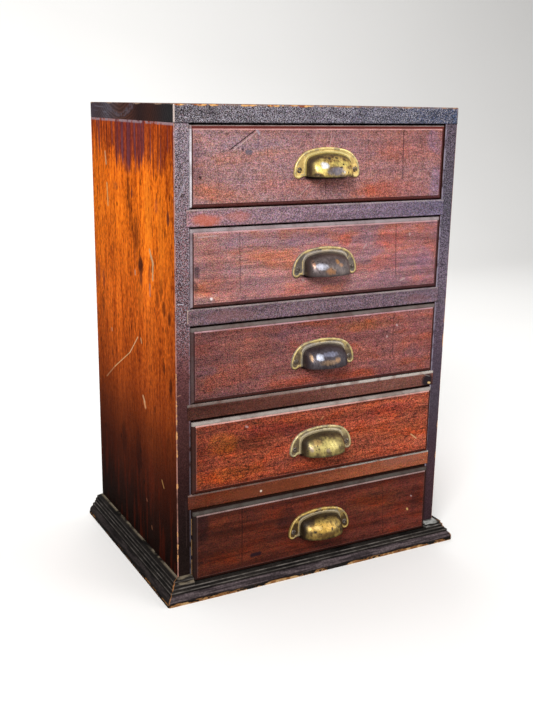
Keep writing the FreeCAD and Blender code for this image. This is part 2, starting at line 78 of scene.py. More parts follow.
# The screws in the pulls and how far their slots are turned, in degrees.
SCREW_SIDES = 24
SCREW_HEAD, SCREW_DOME = 3.3 * MM, 0.9 * MM
SLOT_WIDTH, SLOT_DEPTH = 0.9 * MM, 0.8 * MM
SCREW_SPREAD, SCREW_LEVEL = 36.7 * MM, 6.5 * MM
SCREW_NECK, SCREW_NECK_DEPTH = SCREW_HEAD * 0.62, 1.2 * MM
SLOT_TURNS = {1: (20, 75), 2: (40, 100), 3: (65, 95), 4: (10, 50), 5: (80, 30)}
# The nails in the back boards: how wide their heads are, and how deep their rim and face lie.
NAIL_SIDES = 12
NAIL_HEAD, NAIL_RIM_DEPTH, NAIL_FACE_DEPTH = 1.6 * MM, 0.25 * MM, 0.02 * MM


def rgb(red, green, blue):
    """A colour as seen on screen, 0 to 255, as the linear colour that a shader takes."""
    return tuple(
        (c / 255 / 12.92) if c / 255 <= 0.04045 else ((c / 255 + 0.055) / 1.055) ** 2.4
        for c in (red, green, blue)
    ) + (1.0,)


def reckoning(operation, turned=False):
    """An operator that adds a math node to the value's material."""

    def reckon(value, *others):
        order = (*others, value) if turned else (value, *others)
        return value.paint.math(operation, *order)

    return reckon


class Value:
    """A socket of a material that can be reckoned with like a number."""

    def __init__(self, paint, socket):
        self.paint = paint
        self.socket = socket

    __add__ = __radd__ = reckoning("ADD")
    __mul__ = __rmul__ = reckoning("MULTIPLY")
    __sub__ = reckoning("SUBTRACT")
    __rsub__ = reckoning("SUBTRACT", turned=True)
    __truediv__ = reckoning("DIVIDE")
    __mod__ = reckoning("FLOORED_MODULO")
    __pow__ = reckoning("POWER")
    __abs__ = reckoning("ABSOLUTE")

    def band(self, start, end):
        """0 where the value is start, 1 where it is end, smooth between them."""
        ends = (start, end, 0, 1) if start < end else (end, start, 1, 0)
        return self.paint.fit(self, *ends, way="SMOOTHSTEP")

    def spread(self, low, high):
        """A value of 0 to 1 spread over low to high."""
        return self.paint.fit(self, 0, 1, low, high)


class Paint:
    """Builds one material. Positions are in metres, and colours are as seen on screen."""

    def __init__(self, name, seed):
        self.material = bpy.data.materials.new(name)
        self.material.use_nodes = True
        self.tree = self.material.node_tree
        self.tree.nodes.clear()
        self.seed = seed
        self.place = self.out(self.add("ShaderNodeTexCoord"), "Object")
        axes = self.add("ShaderNodeSeparateXYZ", Vector=self.place)
        self.x, self.y, self.z = (self.out(axes, index) for index in range(3))

    def out(self, node, output=0):
        return Value(self, node.outputs[output])

    def put(self, socket, value):
        if isinstance(value, Value):
            self.tree.links.new(value.socket, socket)
        else:
            socket.default_value = rgb(*value) if socket.type == "RGBA" else value

    def add(self, kind, settings=(), **inputs):
        node = self.tree.nodes.new(kind)
        for key, value in dict(settings).items():
            setattr(node, key, value)
        for key, value in inputs.items():
            self.put(node.inputs[key.replace("_", " ")], value)
        return node

    def fill(self, kind, settings, *values):
        """A node's first output, with values for its inputs in their order."""
        node = self.add(kind, settings)
        for socket, value in zip(node.inputs, values):
            self.put(socket, value)
        return self.out(node)

    def math(self, operation, *values):
        return self.fill("ShaderNodeMath", {"operation": operation}, *values)

    def fit(self, value, *ends, way="LINEAR"):
        """A value between two ends moved to between two others, and held there."""
        return self.fill("ShaderNodeMapRange", {"interpolation_type": way}, value, *ends)

    def mix(self, share, first, second, way="MIX"):
        node = self.add("ShaderNodeMix", {"data_type": "RGBA", "blend_type": way})
        for index, value in ((0, share), (6, first), (7, second)):
            self.put(node.inputs[index], value)
        return self.out(node, 2)

    def shade(self, colour, factor):
        """The colour made darker or lighter by a factor."""
        colour = rgb(*colour)[:3] if isinstance(colour, tuple) else colour
        scale = {"operation": "SCALE"}
        return self.out(self.add("ShaderNodeVectorMath", scale, Vector=colour, Scale=factor))

    def layers(self, colour, *layers):
        """The colour with layers over it, each a share and a colour, or a factor on those below."""
        for share, tint in layers:
            if isinstance(tint, (int, float)):
                tint = self.shade(colour, tint)
            colour = self.mix(share, colour, tint)
        return colour

    def stops(self, value, *pairs):
        """Colours, or numbers of 0 to 1, at places along a value."""
        low, high = pairs[0][0], pairs[-1][0]
        node = self.add("ShaderNodeValToRGB", Fac=self.fit(value, low, high, 0, 1))
        elements = node.color_ramp.elements
        for index, (place, colour) in enumerate(pairs):
            position = (place - low) / (high - low)
            element = elements[index] if index < 2 else elements.new(position)
            element.position = position
            element.color = rgb(*colour) if isinstance(colour, tuple) else (colour,) * 3 + (1,)
        return self.out(node)

    def texture(self, kind, scale, **inputs):
        """A texture over the part's coordinates, scaled along each axis, shifted by the seed."""
        scale = (scale,) * 3 if isinstance(scale, (int, float)) else scale
        shift = (self.seed * 3.7, self.seed * 5.1, self.seed * 7.3)
        place = self.add("ShaderNodeMapping", Vector=self.place, Location=shift, Scale=scale)
        return self.add(kind, Vector=self.out(place), Scale=1, **inputs)

    def noise(self, scale, detail=2, roughness=0.5, distortion=0, output=0):
        """Noise of 0 to 1. The scale is in waves a metre, one number or one for each axis."""
        inputs = dict(Detail=detail, Roughness=roughness, Distortion=distortion)
        return self.out(self.texture("ShaderNodeTexNoise", scale, **inputs), output)

    def cells(self, scale):
        """The distance to the nearest centre of irregular cells."""
        return self.out(self.texture("ShaderNodeTexVoronoi", scale))

    def sparkle(self, colour, scale, strength):
        """The colour with its red, green and blue each lifted or lowered by fine noise."""
        grey = self.noise(scale, detail=1, output="Color")
        steps = {"operation": "MULTIPLY_ADD"}, {"operation": "MULTIPLY"}
        span, foot = (2 * strength,) * 3, (1 - strength,) * 3
        factor = self.fill("ShaderNodeVectorMath", steps[0], grey, span, foot)
        return self.fill("ShaderNodeVectorMath", steps[1], colour, factor)

    def line(self, across, up, start, end, width):
        """1 on a straight scratch between two points of a face, 0 away from it."""
        run, rise = end[0] - start[0], end[1] - start[1]
        aside, above = across - start[0], up - start[1]
        share = self.fit((aside * run + above * rise) / (run**2 + rise**2), 0, 1, 0, 1)
        off_a, off_b = aside - share * run, above - share * rise
        return ((off_a * off_a + off_b * off_b) ** 0.5).band(width * 0.75, width * 0.25)

    def oval(self, across, up, centre, size):
        """0 in the middle of an oval spot, 1 on its border, more outside."""
        aside, above = (across - centre[0]) / size[0], (up - centre[1]) / size[1]
        return aside * aside + above * above

    def finish(self, colour, roughness, bump=None, metal=0, specular=0.2):
        """Join all to the surface. The bump is a height, a strength and a distance."""
        inputs = dict(Base_Color=colour, Roughness=roughness, Metallic=metal)
        surface = self.add("ShaderNodeBsdfPrincipled", Specular_IOR_Level=specular, **inputs)
        if bump:
            inputs = dict(zip(("Height", "Strength", "Distance"), bump))
            self.put(surface.inputs["Normal"], self.out(self.add("ShaderNodeBump", **inputs)))
        self.add("ShaderNodeOutputMaterial", Surface=self.out(surface))
        return self.material


def coat_node(name, material):
    """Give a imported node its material."""
    slots = NODES[name].data.materials
    slots.clear()
    slots.append(material)


def along_grain(paint, axis, across, along, **more):
    """Noise that is drawn out along one axis."""
    scale = [across] * 3
    scale[axis] = along
    return paint.noise(tuple(scale), **more)


def wood_streaks(paint, axis):
    return along_grain(paint, axis, 150, 7, detail=3, distortion=0.3)


def wood_pores(paint, axis):
    return along_grain(paint, axis, 760, 90, detail=1).band(0.56, 0.68)


def raw_wood(paint, axis, base, darkest):
    """Bare wood where the varnish ends."""
    return paint.shade(base, wood_streaks(paint, axis).spread(darkest, 1.25))


def old_varnish(
    paint, ground, haze, haze_share, speckle, weave, pores_share=0.5, grain=0, figure=0.25, drift=0
):
    """Crazed, pebbled and hazed varnish over stained wood.

    It returns a colour, a height for bump and a roughness.
    """
    figured = wood_streaks(paint, grain).band(0.3, 0.7).spread(1 - figure, 1 + figure)
    pores = wood_pores(paint, grain) * pores_share
    colour = paint.layers(paint.shade(ground, figured), (pores, (40, 16, 14)))

    tint = paint.noise((20, 20, 52), detail=4, distortion=0.4)
    warm_and_cool = (0.64, 1.18, (255, 226, 190)), (0.36, 0.98, (228, 238, 255))
    for end, strength, filter_colour in warm_and_cool:
        tinted = paint.mix(1, paint.shade(colour, strength), filter_colour, way="MULTIPLY")
        colour = paint.layers(colour, (tint.band(0.5, end) * drift, tinted))

    clouds = paint.noise(14, detail=3, roughness=0.6)
    colour = paint.layers(colour, (clouds.band(0.35, 0.65) * haze_share, haze))

    grains = paint.noise(960, detail=0).band(0.42, 0.58)
    coarse = paint.noise(260).band(0.35, 0.65)
    rise = grains * 0.86 + coarse * 0.14
    level_lines = paint.noise((90, 90, 640), detail=1)
    upright_lines = paint.noise((640, 640, 80), detail=1)
    woven = (level_lines * 0.6 + upright_lines * 0.4).band(0.38, 0.62)
    tone = 1 + (rise - 0.5) * (2 * speckle) + (woven - 0.5) * (2 * weave)
    # Glints are painted highlights on the crazed grains.
    glints = paint.noise(700, detail=0).band(0.6, 0.7)
    colour = paint.layers(paint.shade(colour, tone), (glints * speckle, 1.7))
    return paint.sparkle(colour, 620, 0.4), rise + woven * weave, clouds.spread(0.42, 0.6)


def glints_and_pits(paint, glint, pit):
    """Painted highlights on the grains, and black pits, of crazed varnish, each from two levels of
    noise.
    """
    return paint.noise(1050, detail=0).band(*glint), paint.noise(980, detail=0).band(*pit)


def worn_arris(paint, distance, width, along=60, amount=(0.45, 0.7)):
    """1 where an arris is rubbed through to bare wood. The distance is from the arris."""
    reach = paint.noise(along, detail=4, roughness=0.65).band(*amount) * width
    return (distance - reach).band(0.0003, -0.0003)


def draw_lines(paint, colour, across, lines):
    """Scratches: start, end, width, strength and colour, in millimetres."""
    across, up = across / MM, paint.z / MM - MARK_LEVEL
    marks = [
        (paint.line(across, up, start, end, width) * strength, tint)
        for start, end, width, strength, tint in lines
    ]
    return paint.layers(colour, *marks)


def draw_spots(paint, colour, across, up, ragged, soft, spots):
    """Ragged spots: centre, half size, strength and colour, in millimetres."""
    marks = [
        ((paint.oval(across, up, centre, size) + ragged).band(*soft) * strength, tint)
        for centre, size, strength, tint in spots
    ]
    return paint.layers(colour, *marks)


def draw_patches(paint, colour, across, patches):
    """Soft cloudy patches of the varnish."""
    ragged = (paint.noise(55, detail=4, roughness=0.7) - 0.5) * 2.6
    up = paint.z / MM - MARK_LEVEL
    return draw_spots(paint, colour, across / MM, up, ragged, (1.5, 0.2), patches)


# What is seen on the left side, in millimetres back from the middle and up: scratches as
# start, end, width, strength and colour, and soft patches as centre, half size, strength
# and colour.
UMBER = (58, 18, 12)
PLUM = (92, 40, 44)
BARE = (228, 180, 132)
SIDE_SCRATCHES = [
    ((-63, 398), (-68, 390), 4.6, 0.95, BARE), ((-68, 391), (-73, 384), 4.6, 0.95, BARE),
    ((-72, 386), (-71, 366), 4, 1, BARE), ((-62, 358), (-62, 346), 4, 0.7, (200, 140, 120)),
    ((-19, 287), (10, 261), 1.4, 1, (250, 206, 156)),
    ((10, 261), (69, 228), 1.2, 0.95, (244, 196, 140)), ((69, 228), (103, 206), 1.8, 0.4, BARE),
    ((85, 500), (82, 487), 4.4, 0.85, (232, 176, 130)),
    ((81, 462), (79, 436), 4, 0.75, (240, 190, 124)),
    ((-37, 210), (-40, 205), 5.6, 0.95, (236, 164, 112)),
    ((-33, 216), (-38, 211), 4, 0.8, (236, 186, 140)),
    ((-29, 287), (-31, 283), 3.4, 0.85, (230, 170, 120)),
    ((-91, 128), (-97, 121), 2.6, 0.7, (200, 150, 90)),
    ((-55, 54), (-56, 51), 3, 0.45, (170, 110, 80)),
    ((-39, 84), (-40, 82), 2.6, 0.5, (190, 120, 90)),
    ((77, 277), (76, 275), 3.4, 0.6, (236, 180, 140)),
    ((-14, 367), (-14, 363), 3.4, 0.6, (230, 190, 160)),
    ((-14, 392), (-17, 372), 3, 0.35, (196, 100, 60)),
]
SIDE_PATCHES = [
    ((-20, 408), (12, 24), 0.6, (92, 34, 14)), ((-32, 376), (9, 11), 0.9, (44, 18, 20)),
    ((-33, 360), (6, 8), 0.7, (70, 34, 36)), ((4, 458), (7, 24), 0.55, UMBER),
    ((-4, 430), (8, 20), 0.35, UMBER), ((-62, 368), (4, 16), 0.5, PLUM),
    ((-96, 358), (4, 12), 0.6, UMBER), ((-84, 344), (4, 9), 0.6, UMBER),
    ((-104, 338), (5, 10), 0.7, UMBER), ((-119, 330), (5, 9), 0.7, UMBER),
    ((-119, 440), (4, 9), 0.75, (60, 30, 40)), ((-110, 424), (3, 6), 0.7, UMBER),
    ((104, 338), (5, 12), 0.55, PLUM), ((124, 345), (5, 16), 0.5, (110, 70, 74)),
    ((108, 303), (6, 14), 0.5, UMBER), ((-8, 458), (3, 6), 0.6, (70, 44, 54)),
    ((48, 462), (9, 5), 0.4, (130, 70, 50)), ((-85, 450), (5, 8), 0.4, (140, 60, 60)),
    ((-122, 250), (5, 12), 0.7, (30, 10, 8)), ((-102, 268), (4, 8), 0.7, UMBER),
    ((38, 140), (10, 24), 0.5, (30, 12, 10)), ((-14, 136), (10, 30), 0.5, (30, 12, 10)),
    ((-60, 300), (14, 40), 0.25, (120, 50, 20)), ((60, 400), (14, 60), 0.2, (150, 66, 26)),
    ((-98, 420), (10, 60), 0.3, (236, 128, 36)), ((-60, 440), (12, 50), 0.35, (244, 138, 40)),
    ((-30, 340), (10, 24), 0.35, (226, 118, 34)),
]
# How low the dark runs reach under the top board, in millimetres back from the middle and down.
RUN_EDGE = [
    (-137, 36), (-129, 34), (-107, 44), (-92, 48), (-77, 50), (-63, 38), (-47, 44), (-31, 50),
    (-14, 46), (3, 62), (17, 60), (37, 50), (58, 34), (89, 38), (119, 26), (137, 6),
]
DEEPEST_RUN = 70
# The runs turn plum between these distances from a line down the side's middle.
PLUM_LINE, PLUM_FROM, PLUM_TO = -4 * MM, 66 * MM, 36 * MM
# The amber's colour from the foot up, darker towards the foot mostly as painted shade, and how
# much light it lets through from front to back.
AMBER_TONES = [
    (0, (14, 7, 7)), (0.045, (22, 10, 8)), (0.082, (38, 15, 10)), (0.132, (68, 27, 13)),
    (0.182, (104, 46, 18)), (0.232, (152, 70, 24)), (0.282, (180, 86, 25)), (0.332, (202, 100, 29)),
    (0.432, (226, 118, 27)), (0.482, (220, 112, 26)), (0.5435, (204, 96, 30)),
]
AMBER_CLEAR = [
    (-0.137, (176, 168, 160)), (-0.1, (214, 206, 190)), (-0.055, (255, 255, 240)),
    (-0.03, (226, 216, 200)), (0.005, (214, 204, 190)), (0.045, (246, 240, 220)),
    (0.09, (222, 214, 196)), (0.137, (196, 188, 176)),
]


def amber_face(paint, marked):
    """The outer face of a side: amber varnish with upright grain, drips, flecks and chips.

    Only the side that the photograph shows is marked with its own patches and scratches.
    """
    clear = paint.stops(paint.y, *AMBER_CLEAR)
    # The amber darkens towards the foot, mostly as painted shade of the light falling off.
    amber = paint.mix(0.75, paint.stops(paint.z, *AMBER_TONES), clear, way="MULTIPLY")
    amber = paint.shade(amber, 1.66)
    fine = paint.noise((220, 220, 30)).band(0.36, 0.64)
    broad = paint.noise((60, 60, 7), detail=3, distortion=0.5).band(0.3, 0.7)
    grains = paint.noise((300, 300, 190)).band(0.36, 0.64)
    lit = fine * 0.36 + broad * 0.28 + grains * 0.36
    calm = paint.z.band(0.32, 0.12)
    lit = lit + calm * 0.6 * (0.5 - lit)
    deep = paint.mix(1, amber, (172, 134, 118), way="MULTIPLY")
    flecks = paint.noise((230, 230, 70), detail=1).band(0.63, 0.68)
    # Glints are painted highlights on the upper amber.
    glints = paint.noise((240, 240, 170), detail=1).band(0.38, 0.32)
    face = paint.layers(
        paint.mix(lit, deep, paint.shade(amber, 1.6)),
        (paint.noise((120, 120, 16)).band(0.52, 0.66) * 0.175, (130, 40, 12)),
        (flecks * calm.spread(0.85, 0.3) * 0.6, (58, 20, 12)),
        (paint.cells((60, 60, 30)).band(0.15, 0.08) * 0.75, 0.2),
        (glints * paint.z.band(0.12, 0.26) * 0.5, 1.5),
    )
    if marked:
        face = draw_patches(paint, face, paint.y, SIDE_PATCHES)

    edge = paint.stops(paint.y, *((y * MM, depth / DEEPEST_RUN) for y, depth in RUN_EDGE))
    comb = paint.noise((250, 250, 0.6)) - 0.5
    reach = edge * (DEEPEST_RUN * MM) + comb * 0.1
    above = paint.z - (UNDER_TOP - reach)
    runs = paint.noise((260, 260, 7))
    middle = abs(paint.y - PLUM_LINE).band(PLUM_FROM, PLUM_TO)
    thin = runs.band(0.36, 0.5).spread(middle.spread(0.45, 0.8), 1)
    drips = above.band(-0.007, 0.005) * thin
    russet = paint.mix(runs.band(0.4, 0.6), (158, 56, 22), (104, 34, 26))
    plum = paint.mix(runs.band(0.42, 0.6), (134, 50, 42), (98, 42, 54))
    run_tone = paint.shade(paint.mix(middle, russet, plum), grains.spread(0.8, 1.2))
    face = paint.layers(
        face,
        (drips * middle.spread(0.8, 0.95), run_tone),
        (drips * runs.band(0.6, 0.66) * 0.4, (150, 96, 112)),
    )
    if marked:
        face = draw_lines(paint, face, paint.y, SIDE_SCRATCHES)
    dusty = (UNDER_TOP - paint.z).band(0.0036, 0.0018) * paint.noise(120, detail=3).band(0.35, 0.55)
    return paint.layers(face, (dusty * 0.85, (176, 152, 160)))


# The stiles' colour from the foot up, darker towards the foot in part as painted shade, how much
# chalky dust lies along their inner edge, and the left stile's scratches.
STILE_TONES = {
    "left": [
        (0, (36, 27, 24)), (0.066, (36, 26, 24)), (0.102, (40, 27, 26)), (0.148, (56, 33, 32)),
        (0.194, (78, 48, 46)), (0.240, (88, 55, 55)), (0.286, (114, 71, 71)),
        (0.332, (110, 76, 78)), (0.412, (120, 89, 93)), (0.516, (126, 109, 116)),
        (0.5435, (142, 121, 128)),
    ],
    "right": [
        (0, (50, 38, 42)), (0.05, (68, 48, 54)), (0.09, (78, 56, 62)), (0.142, (78, 61, 70)),
        (0.194, (85, 75, 86)), (0.247, (90, 77, 90)), (0.30, (112, 93, 108)),
        (0.392, (114, 99, 118)), (0.444, (90, 84, 100)), (0.5435, (100, 83, 96)),
    ],
}
RAIL_END_CHALK = {"left": 0.25, "right": 0.7}
# How far in from its outer face a side is varnished.
VARNISHED = 11 * MM
STILE_MARKS = [
    ((-182, 352), (-177, 350), 1.6, 0.9, (40, 34, 44)),
    ((-182, 349.5), (-176, 349), 1.1, 0.8, (190, 184, 196)),
    ((-183, 457), (-171, 484), 1.6, 0.45, (176, 168, 182)),
    ((-183, 245), (-180, 246), 1.4, 0.6, (170, 120, 100)),
    ((-174, 118), (-173.5, 60), 0.9, 0.1, (120, 96, 92)),
]


def side_material(side):
    """A side board: amber varnish outside, dark crazed stile in front, plain wood inside."""
    name = "left" if side < 0 else "right"
    paint = Paint(f"{name}_side_wood", seed=1 if side < 0 else 9)
    from_outer = abs(paint.x - side * RIGHT)
    face = amber_face(paint, side < 0)
    # The stile darkens towards the foot, in part as painted shade.
    ground = paint.stops(paint.z, *STILE_TONES[name])
    stile, height, roughness = old_varnish(
        paint, ground, (128, 116, 126), 0, speckle=0.7, weave=0.05, pores_share=0.2, grain=2,
        figure=0.12,
    )
    upper = paint.z.band(0.27, 0.34)
    calm = paint.z.band(0.33, 0.23)
    stile = paint.layers(stile, (calm * 0.7, paint.shade(ground, 0.8)))
    if side > 0:
        stile = paint.shade(stile, calm.spread(0.72, 1))
        upper = upper * 0.6
    # The glints are painted highlights on the upper stile.
    glints, pits = glints_and_pits(paint, (0.55, 0.62), (0.45, 0.38))
    inner_edge = from_outer.band(STILE - 0.0022, STILE - 0.0006) * RAIL_END_CHALK[name]
    stile = paint.layers(
        stile,
        (glints * upper * 0.75, (190, 180, 192)),
        (pits * upper * 0.75, (36, 28, 36)),
        (inner_edge * paint.noise(80, detail=3).band(0.35, 0.55), (168, 160, 178)),
    )

    on_front = paint.y.band(FRONT + SKIN, FRONT + SKIN_END)
    # The bare inner face is darker near the front as painted shade in the gap beside the drawers.
    gap_shade = paint.y.band(FRONT + 0.02, FRONT + 0.012)
    raw = paint.layers(raw_wood(paint, 2, (112, 72, 46), 0.55), (gap_shade, (52, 30, 24)))
    from_arris = from_outer + abs(paint.y - FRONT)
    rubbed = paint.noise(70, detail=3).band(0.35, 0.6).spread(0.25, 0.9)
    worn = worn_arris(paint, from_arris, 0.0016, along=44, amount=(0.48, 0.62))
    colour = paint.layers(
        face,
        (on_front, stile),
        (from_outer.band(VARNISHED - MM / 2, VARNISHED + MM / 2) * (1 - on_front), raw),
        (from_arris.band(0.0013, 0.0006) * rubbed, (196, 140, 124)),
        (worn * paint.z.band(0.36, 0.26), (220, 160, 108)),
        ((UNDER_TOP - paint.z).band(0.0012, 0.0003) * on_front * 0.7, (34, 26, 28)),
    )
    if side < 0:
        colour = paint.mix(on_front, colour, draw_lines(paint, colour, paint.x, STILE_MARKS))
    return paint.finish(colour, roughness, (height, 0.35, 0.0006), specular=0.03)


# The top board's front from left to right, its upper face and its end from front to back; the
# end's grey-purple towards the back is a painted sheen.
TOP_FRONT_TONES = [
    (-0.185, (104, 94, 98)), (-0.1, (106, 98, 104)), (0, (112, 105, 116)), (0.08, (98, 97, 112)),
    (0.185, (60, 74, 102)),
]
TOP_UPPER_TONES = [(0.3, (74, 40, 30)), (0.5, (112, 58, 38)), (0.7, (150, 84, 48))]
TOP_END_TONES = [
    (-0.137, (46, 46, 48)), (-0.11, (50, 44, 46)), (-0.098, (54, 40, 40)), (-0.069, (68, 40, 34)),
    (-0.037, (52, 34, 34)), (-0.004, (82, 48, 40)), (0.03, (86, 58, 52)), (0.076, (92, 84, 92)),
    (0.104, (80, 64, 68)), (0.137, (84, 72, 82)),
]
# The tree's heart in the top board's end grain, its year rings and the ring that shines.
HEART_Y, HEART_Z = 0.03, 0.642
RINGS_A_METRE = 240
SHEEN_RING = 0.099


def top_material():
    """The top board: crazed dark front, end grain at both ends, rubbed front arris."""
    paint = Paint("top_board_wood", seed=2)
    ground = paint.stops(paint.x, *TOP_FRONT_TONES)
    front, height, roughness = old_varnish(
        paint, ground, (118, 116, 126), 0, speckle=0.8, weave=0.05, pores_share=0.1, figure=0.1
    )
    # The glints are painted highlights on the crazed front.
    glints, pits = glints_and_pits(paint, (0.54, 0.61), (0.46, 0.39))
    front = paint.layers(
        front,
        (glints * paint.noise(40).band(0.35, 0.6).spread(0.35, 0.9), (190, 184, 196)),
        (pits * 0.85, (30, 24, 32)),
        (paint.noise((30, 30, 90)).band(0.5, 0.66) * 0.45, 0.45),
    )
    ground = paint.stops(paint.noise((9, 5, 9), detail=3), *TOP_UPPER_TONES)
    upper, upper_height, _ = old_varnish(
        paint, ground, (120, 100, 92), 0.35, speckle=0.25, weave=0.1
    )

    from_heart = ((paint.y - HEART_Y) ** 2 + (paint.z - HEART_Z) ** 2) ** 0.5
    wavy = from_heart + paint.noise((60, 24, 60)) * 0.012
    rings = abs(wavy * RINGS_A_METRE % 1 - 0.5).band(0.1, 0.42).spread(0.72, 1.25)
    sheen_arc = abs(wavy - SHEEN_RING).band(0.0045, 0.0012) * paint.noise(260).band(0.4, 0.6)
    # Pale streaks towards the back of the end grain are a painted sheen.
    sheen_streaks = paint.noise((500, 30, 420), detail=1).band(0.58, 0.68)
    end = paint.layers(
        paint.shade(paint.stops(paint.y, *TOP_END_TONES), rings),
        (sheen_arc * 0.5, (120, 114, 128)),
        (sheen_streaks * paint.y.band(0.05, 0.09) * 0.5, (132, 128, 142)),
        (paint.noise(520, detail=1).band(0.6, 0.7) * 0.4, (24, 15, 16)),
    )

    from_front, from_top = abs(paint.y - FRONT), abs(paint.z - HEIGHT)
    from_end = abs(abs(paint.x) - RIGHT)
    on_front = paint.y.band(FRONT + SKIN, FRONT + SKIN_END)
    on_end = abs(paint.x).band(RIGHT - SKIN, RIGHT - SKIN_END)
    arris = from_top + from_front
    dust = arris.band(0.0022, 0.001) * paint.noise(90, detail=3).band(0.3, 0.6)
    worn = worn_arris(paint, arris, 0.0019, along=52, amount=(0.44, 0.6))
    bare = paint.mix(paint.noise(160).band(0.42, 0.58), (150, 76, 34), (232, 176, 110))
    end_worn = worn_arris(paint, from_end + from_top, 0.002, along=30)
    corner = (from_end + from_front).band(0.0018, 0.0008)
    colour = paint.layers(
        upper,
        (on_end, end),
        (on_front, front),
        (dust * 0.6, (150, 122, 104)),
        (worn * paint.x.band(0.04, -0.02).spread(0.3, 0.95), bare),
        (end_worn * 0.7, (170, 140, 116)),
        (corner * paint.x.band(0, -0.01).spread(0.25, 0.95), (226, 206, 196)),
        (on_front * (paint.z - UNDER_TOP).band(0.0014, 0.0004) * 0.7, (36, 30, 36)),
    )
    rise = height + upper_height * 0.2
    return paint.finish(colour, roughness, (rise, 0.5, 0.0006), specular=0.08)


# The rails: the ground at the left and the right end, darker on the lower rails in part as painted
# shade, its haze and its speckle, the dust on the upper arris and how wide the dust lies, in
# millimetres.
COOL, WARM = (128, 118, 130), (126, 92, 84)
RAIL_LOOKS = {
    1: ((158, 121, 126), (112, 101, 123), COOL, 0.45, 0.35, 2.2),
    2: ((116, 92, 98), (118, 96, 108), COOL, 0.5, 0.4, 2.2),
    3: ((68, 34, 26), (130, 82, 72), WARM, 0.35, 0.95, 4),
    4: ((88, 35, 14), (166, 92, 62), WARM, 0.35, 0.9, 2.8),
}
# Soft patches on the rails, and pale chips and dust as scratches.
RAIL_PATCHES = {
    1: [((-146, 439), (18, 7), 0.7, (206, 108, 82)), ((-110, 441), (16, 6), 0.4, (196, 110, 92))],
    2: [((-120, 332), (30, 7), 0.3, (150, 96, 92)), ((140, 330), (20, 6), 0.3, (146, 92, 92))],
    3: [((163, 221), (9, 9), 0.95, (34, 30, 36)), ((-60, 222), (50, 6), 0.3, (96, 48, 36))],
    4: [((-60, 113), (70, 6), 0.5, (116, 58, 34)), ((130, 118), (30, 7), 0.3, (150, 98, 88))],
}
RAIL_MARKS = {
    1: [((-88, 452), (-74, 452), 1, 0.4, (190, 160, 150))],
    2: [
        ((138, 343.6), (166, 343.2), 1.5, 0.8, (226, 180, 150)),
        ((-121, 343.4), (-116, 343.4), 1.8, 0.85, (232, 176, 128)),
        ((-170.5, 342), (-170.5, 327), 1.1, 0.7, (196, 168, 150)),
    ],
    3: [
        ((148, 234.6), (163, 232), 1.6, 0.9, (214, 204, 190)),
        ((158, 229), (166, 226), 1.3, 0.5, (150, 140, 136)),
        ((165, 217.5), (167, 217), 2.6, 0.9, (240, 200, 140)),
    ],
    4: [
        ((-60, 126.6), (90, 126.6), 0.9, 0.5, (176, 140, 124)),
        ((-76.5, 112.1), (-76.3, 112.1), 2.6, 1, (236, 220, 200)),
    ],
}


def rail_material(rail):
    """A drawer rail: stained front, dusty upper arris and dark joints at its ends."""
    left, right, haze, speckle, dust, wide = RAIL_LOOKS[rail]
    low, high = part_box(f"drawer_rail_{rail}")
    paint = Paint(f"rail_{rail}_wood", seed=10 + rail)
    ground = paint.stops(paint.x, (-0.17, left), (0.17, right))
    front, height, roughness = old_varnish(
        paint, ground, haze, 0.15, speckle, weave=0.08, pores_share=0.3, figure=0.18
    )
    front = draw_patches(paint, front, paint.x, RAIL_PATCHES[rail])
    front = draw_lines(paint, front, paint.x, RAIL_MARKS[rail])
    on_front = paint.y.band(FRONT + 0.0022, FRONT + 0.0012)
    dusty = (high.z - paint.z + abs(paint.y - FRONT)).band(wide * MM, wide * MM / 2)
    powder = paint.noise(70, detail=4).band(0.32, 0.6).spread(0.3, 1)
    if rail > 2:
        powder = powder * paint.x.band(-0.05, 0.08).spread(0.35, 1.6)
    colour = paint.layers(
        raw_wood(paint, 0, (132, 92, 62), 0.6),
        (paint.noise(20, detail=3).band(0.35, 0.7), (86, 62, 48)),
        # Painted shade on the bare top just behind the front, under the drawer's front.
        (paint.y.band(FRONT + 0.016, FRONT + 0.004) * 0.8, (66, 44, 38)),
        (on_front, front),
        (dusty * powder * dust, (196, 186, 178)),
        ((paint.z - low.z).band(0.0014, 0.0002) * 0.5, (34, 20, 20)),
        (abs(abs(paint.x) - high.x).band(0.0009, 0.0003) * 0.85, (24, 15, 15)),
        (paint.cells(46).band(0.05, 0.03) * on_front * 0.6, (206, 180, 150)),
    )
    return paint.finish(colour, roughness, (height, 0.4, 0.0006), specular=0.1)
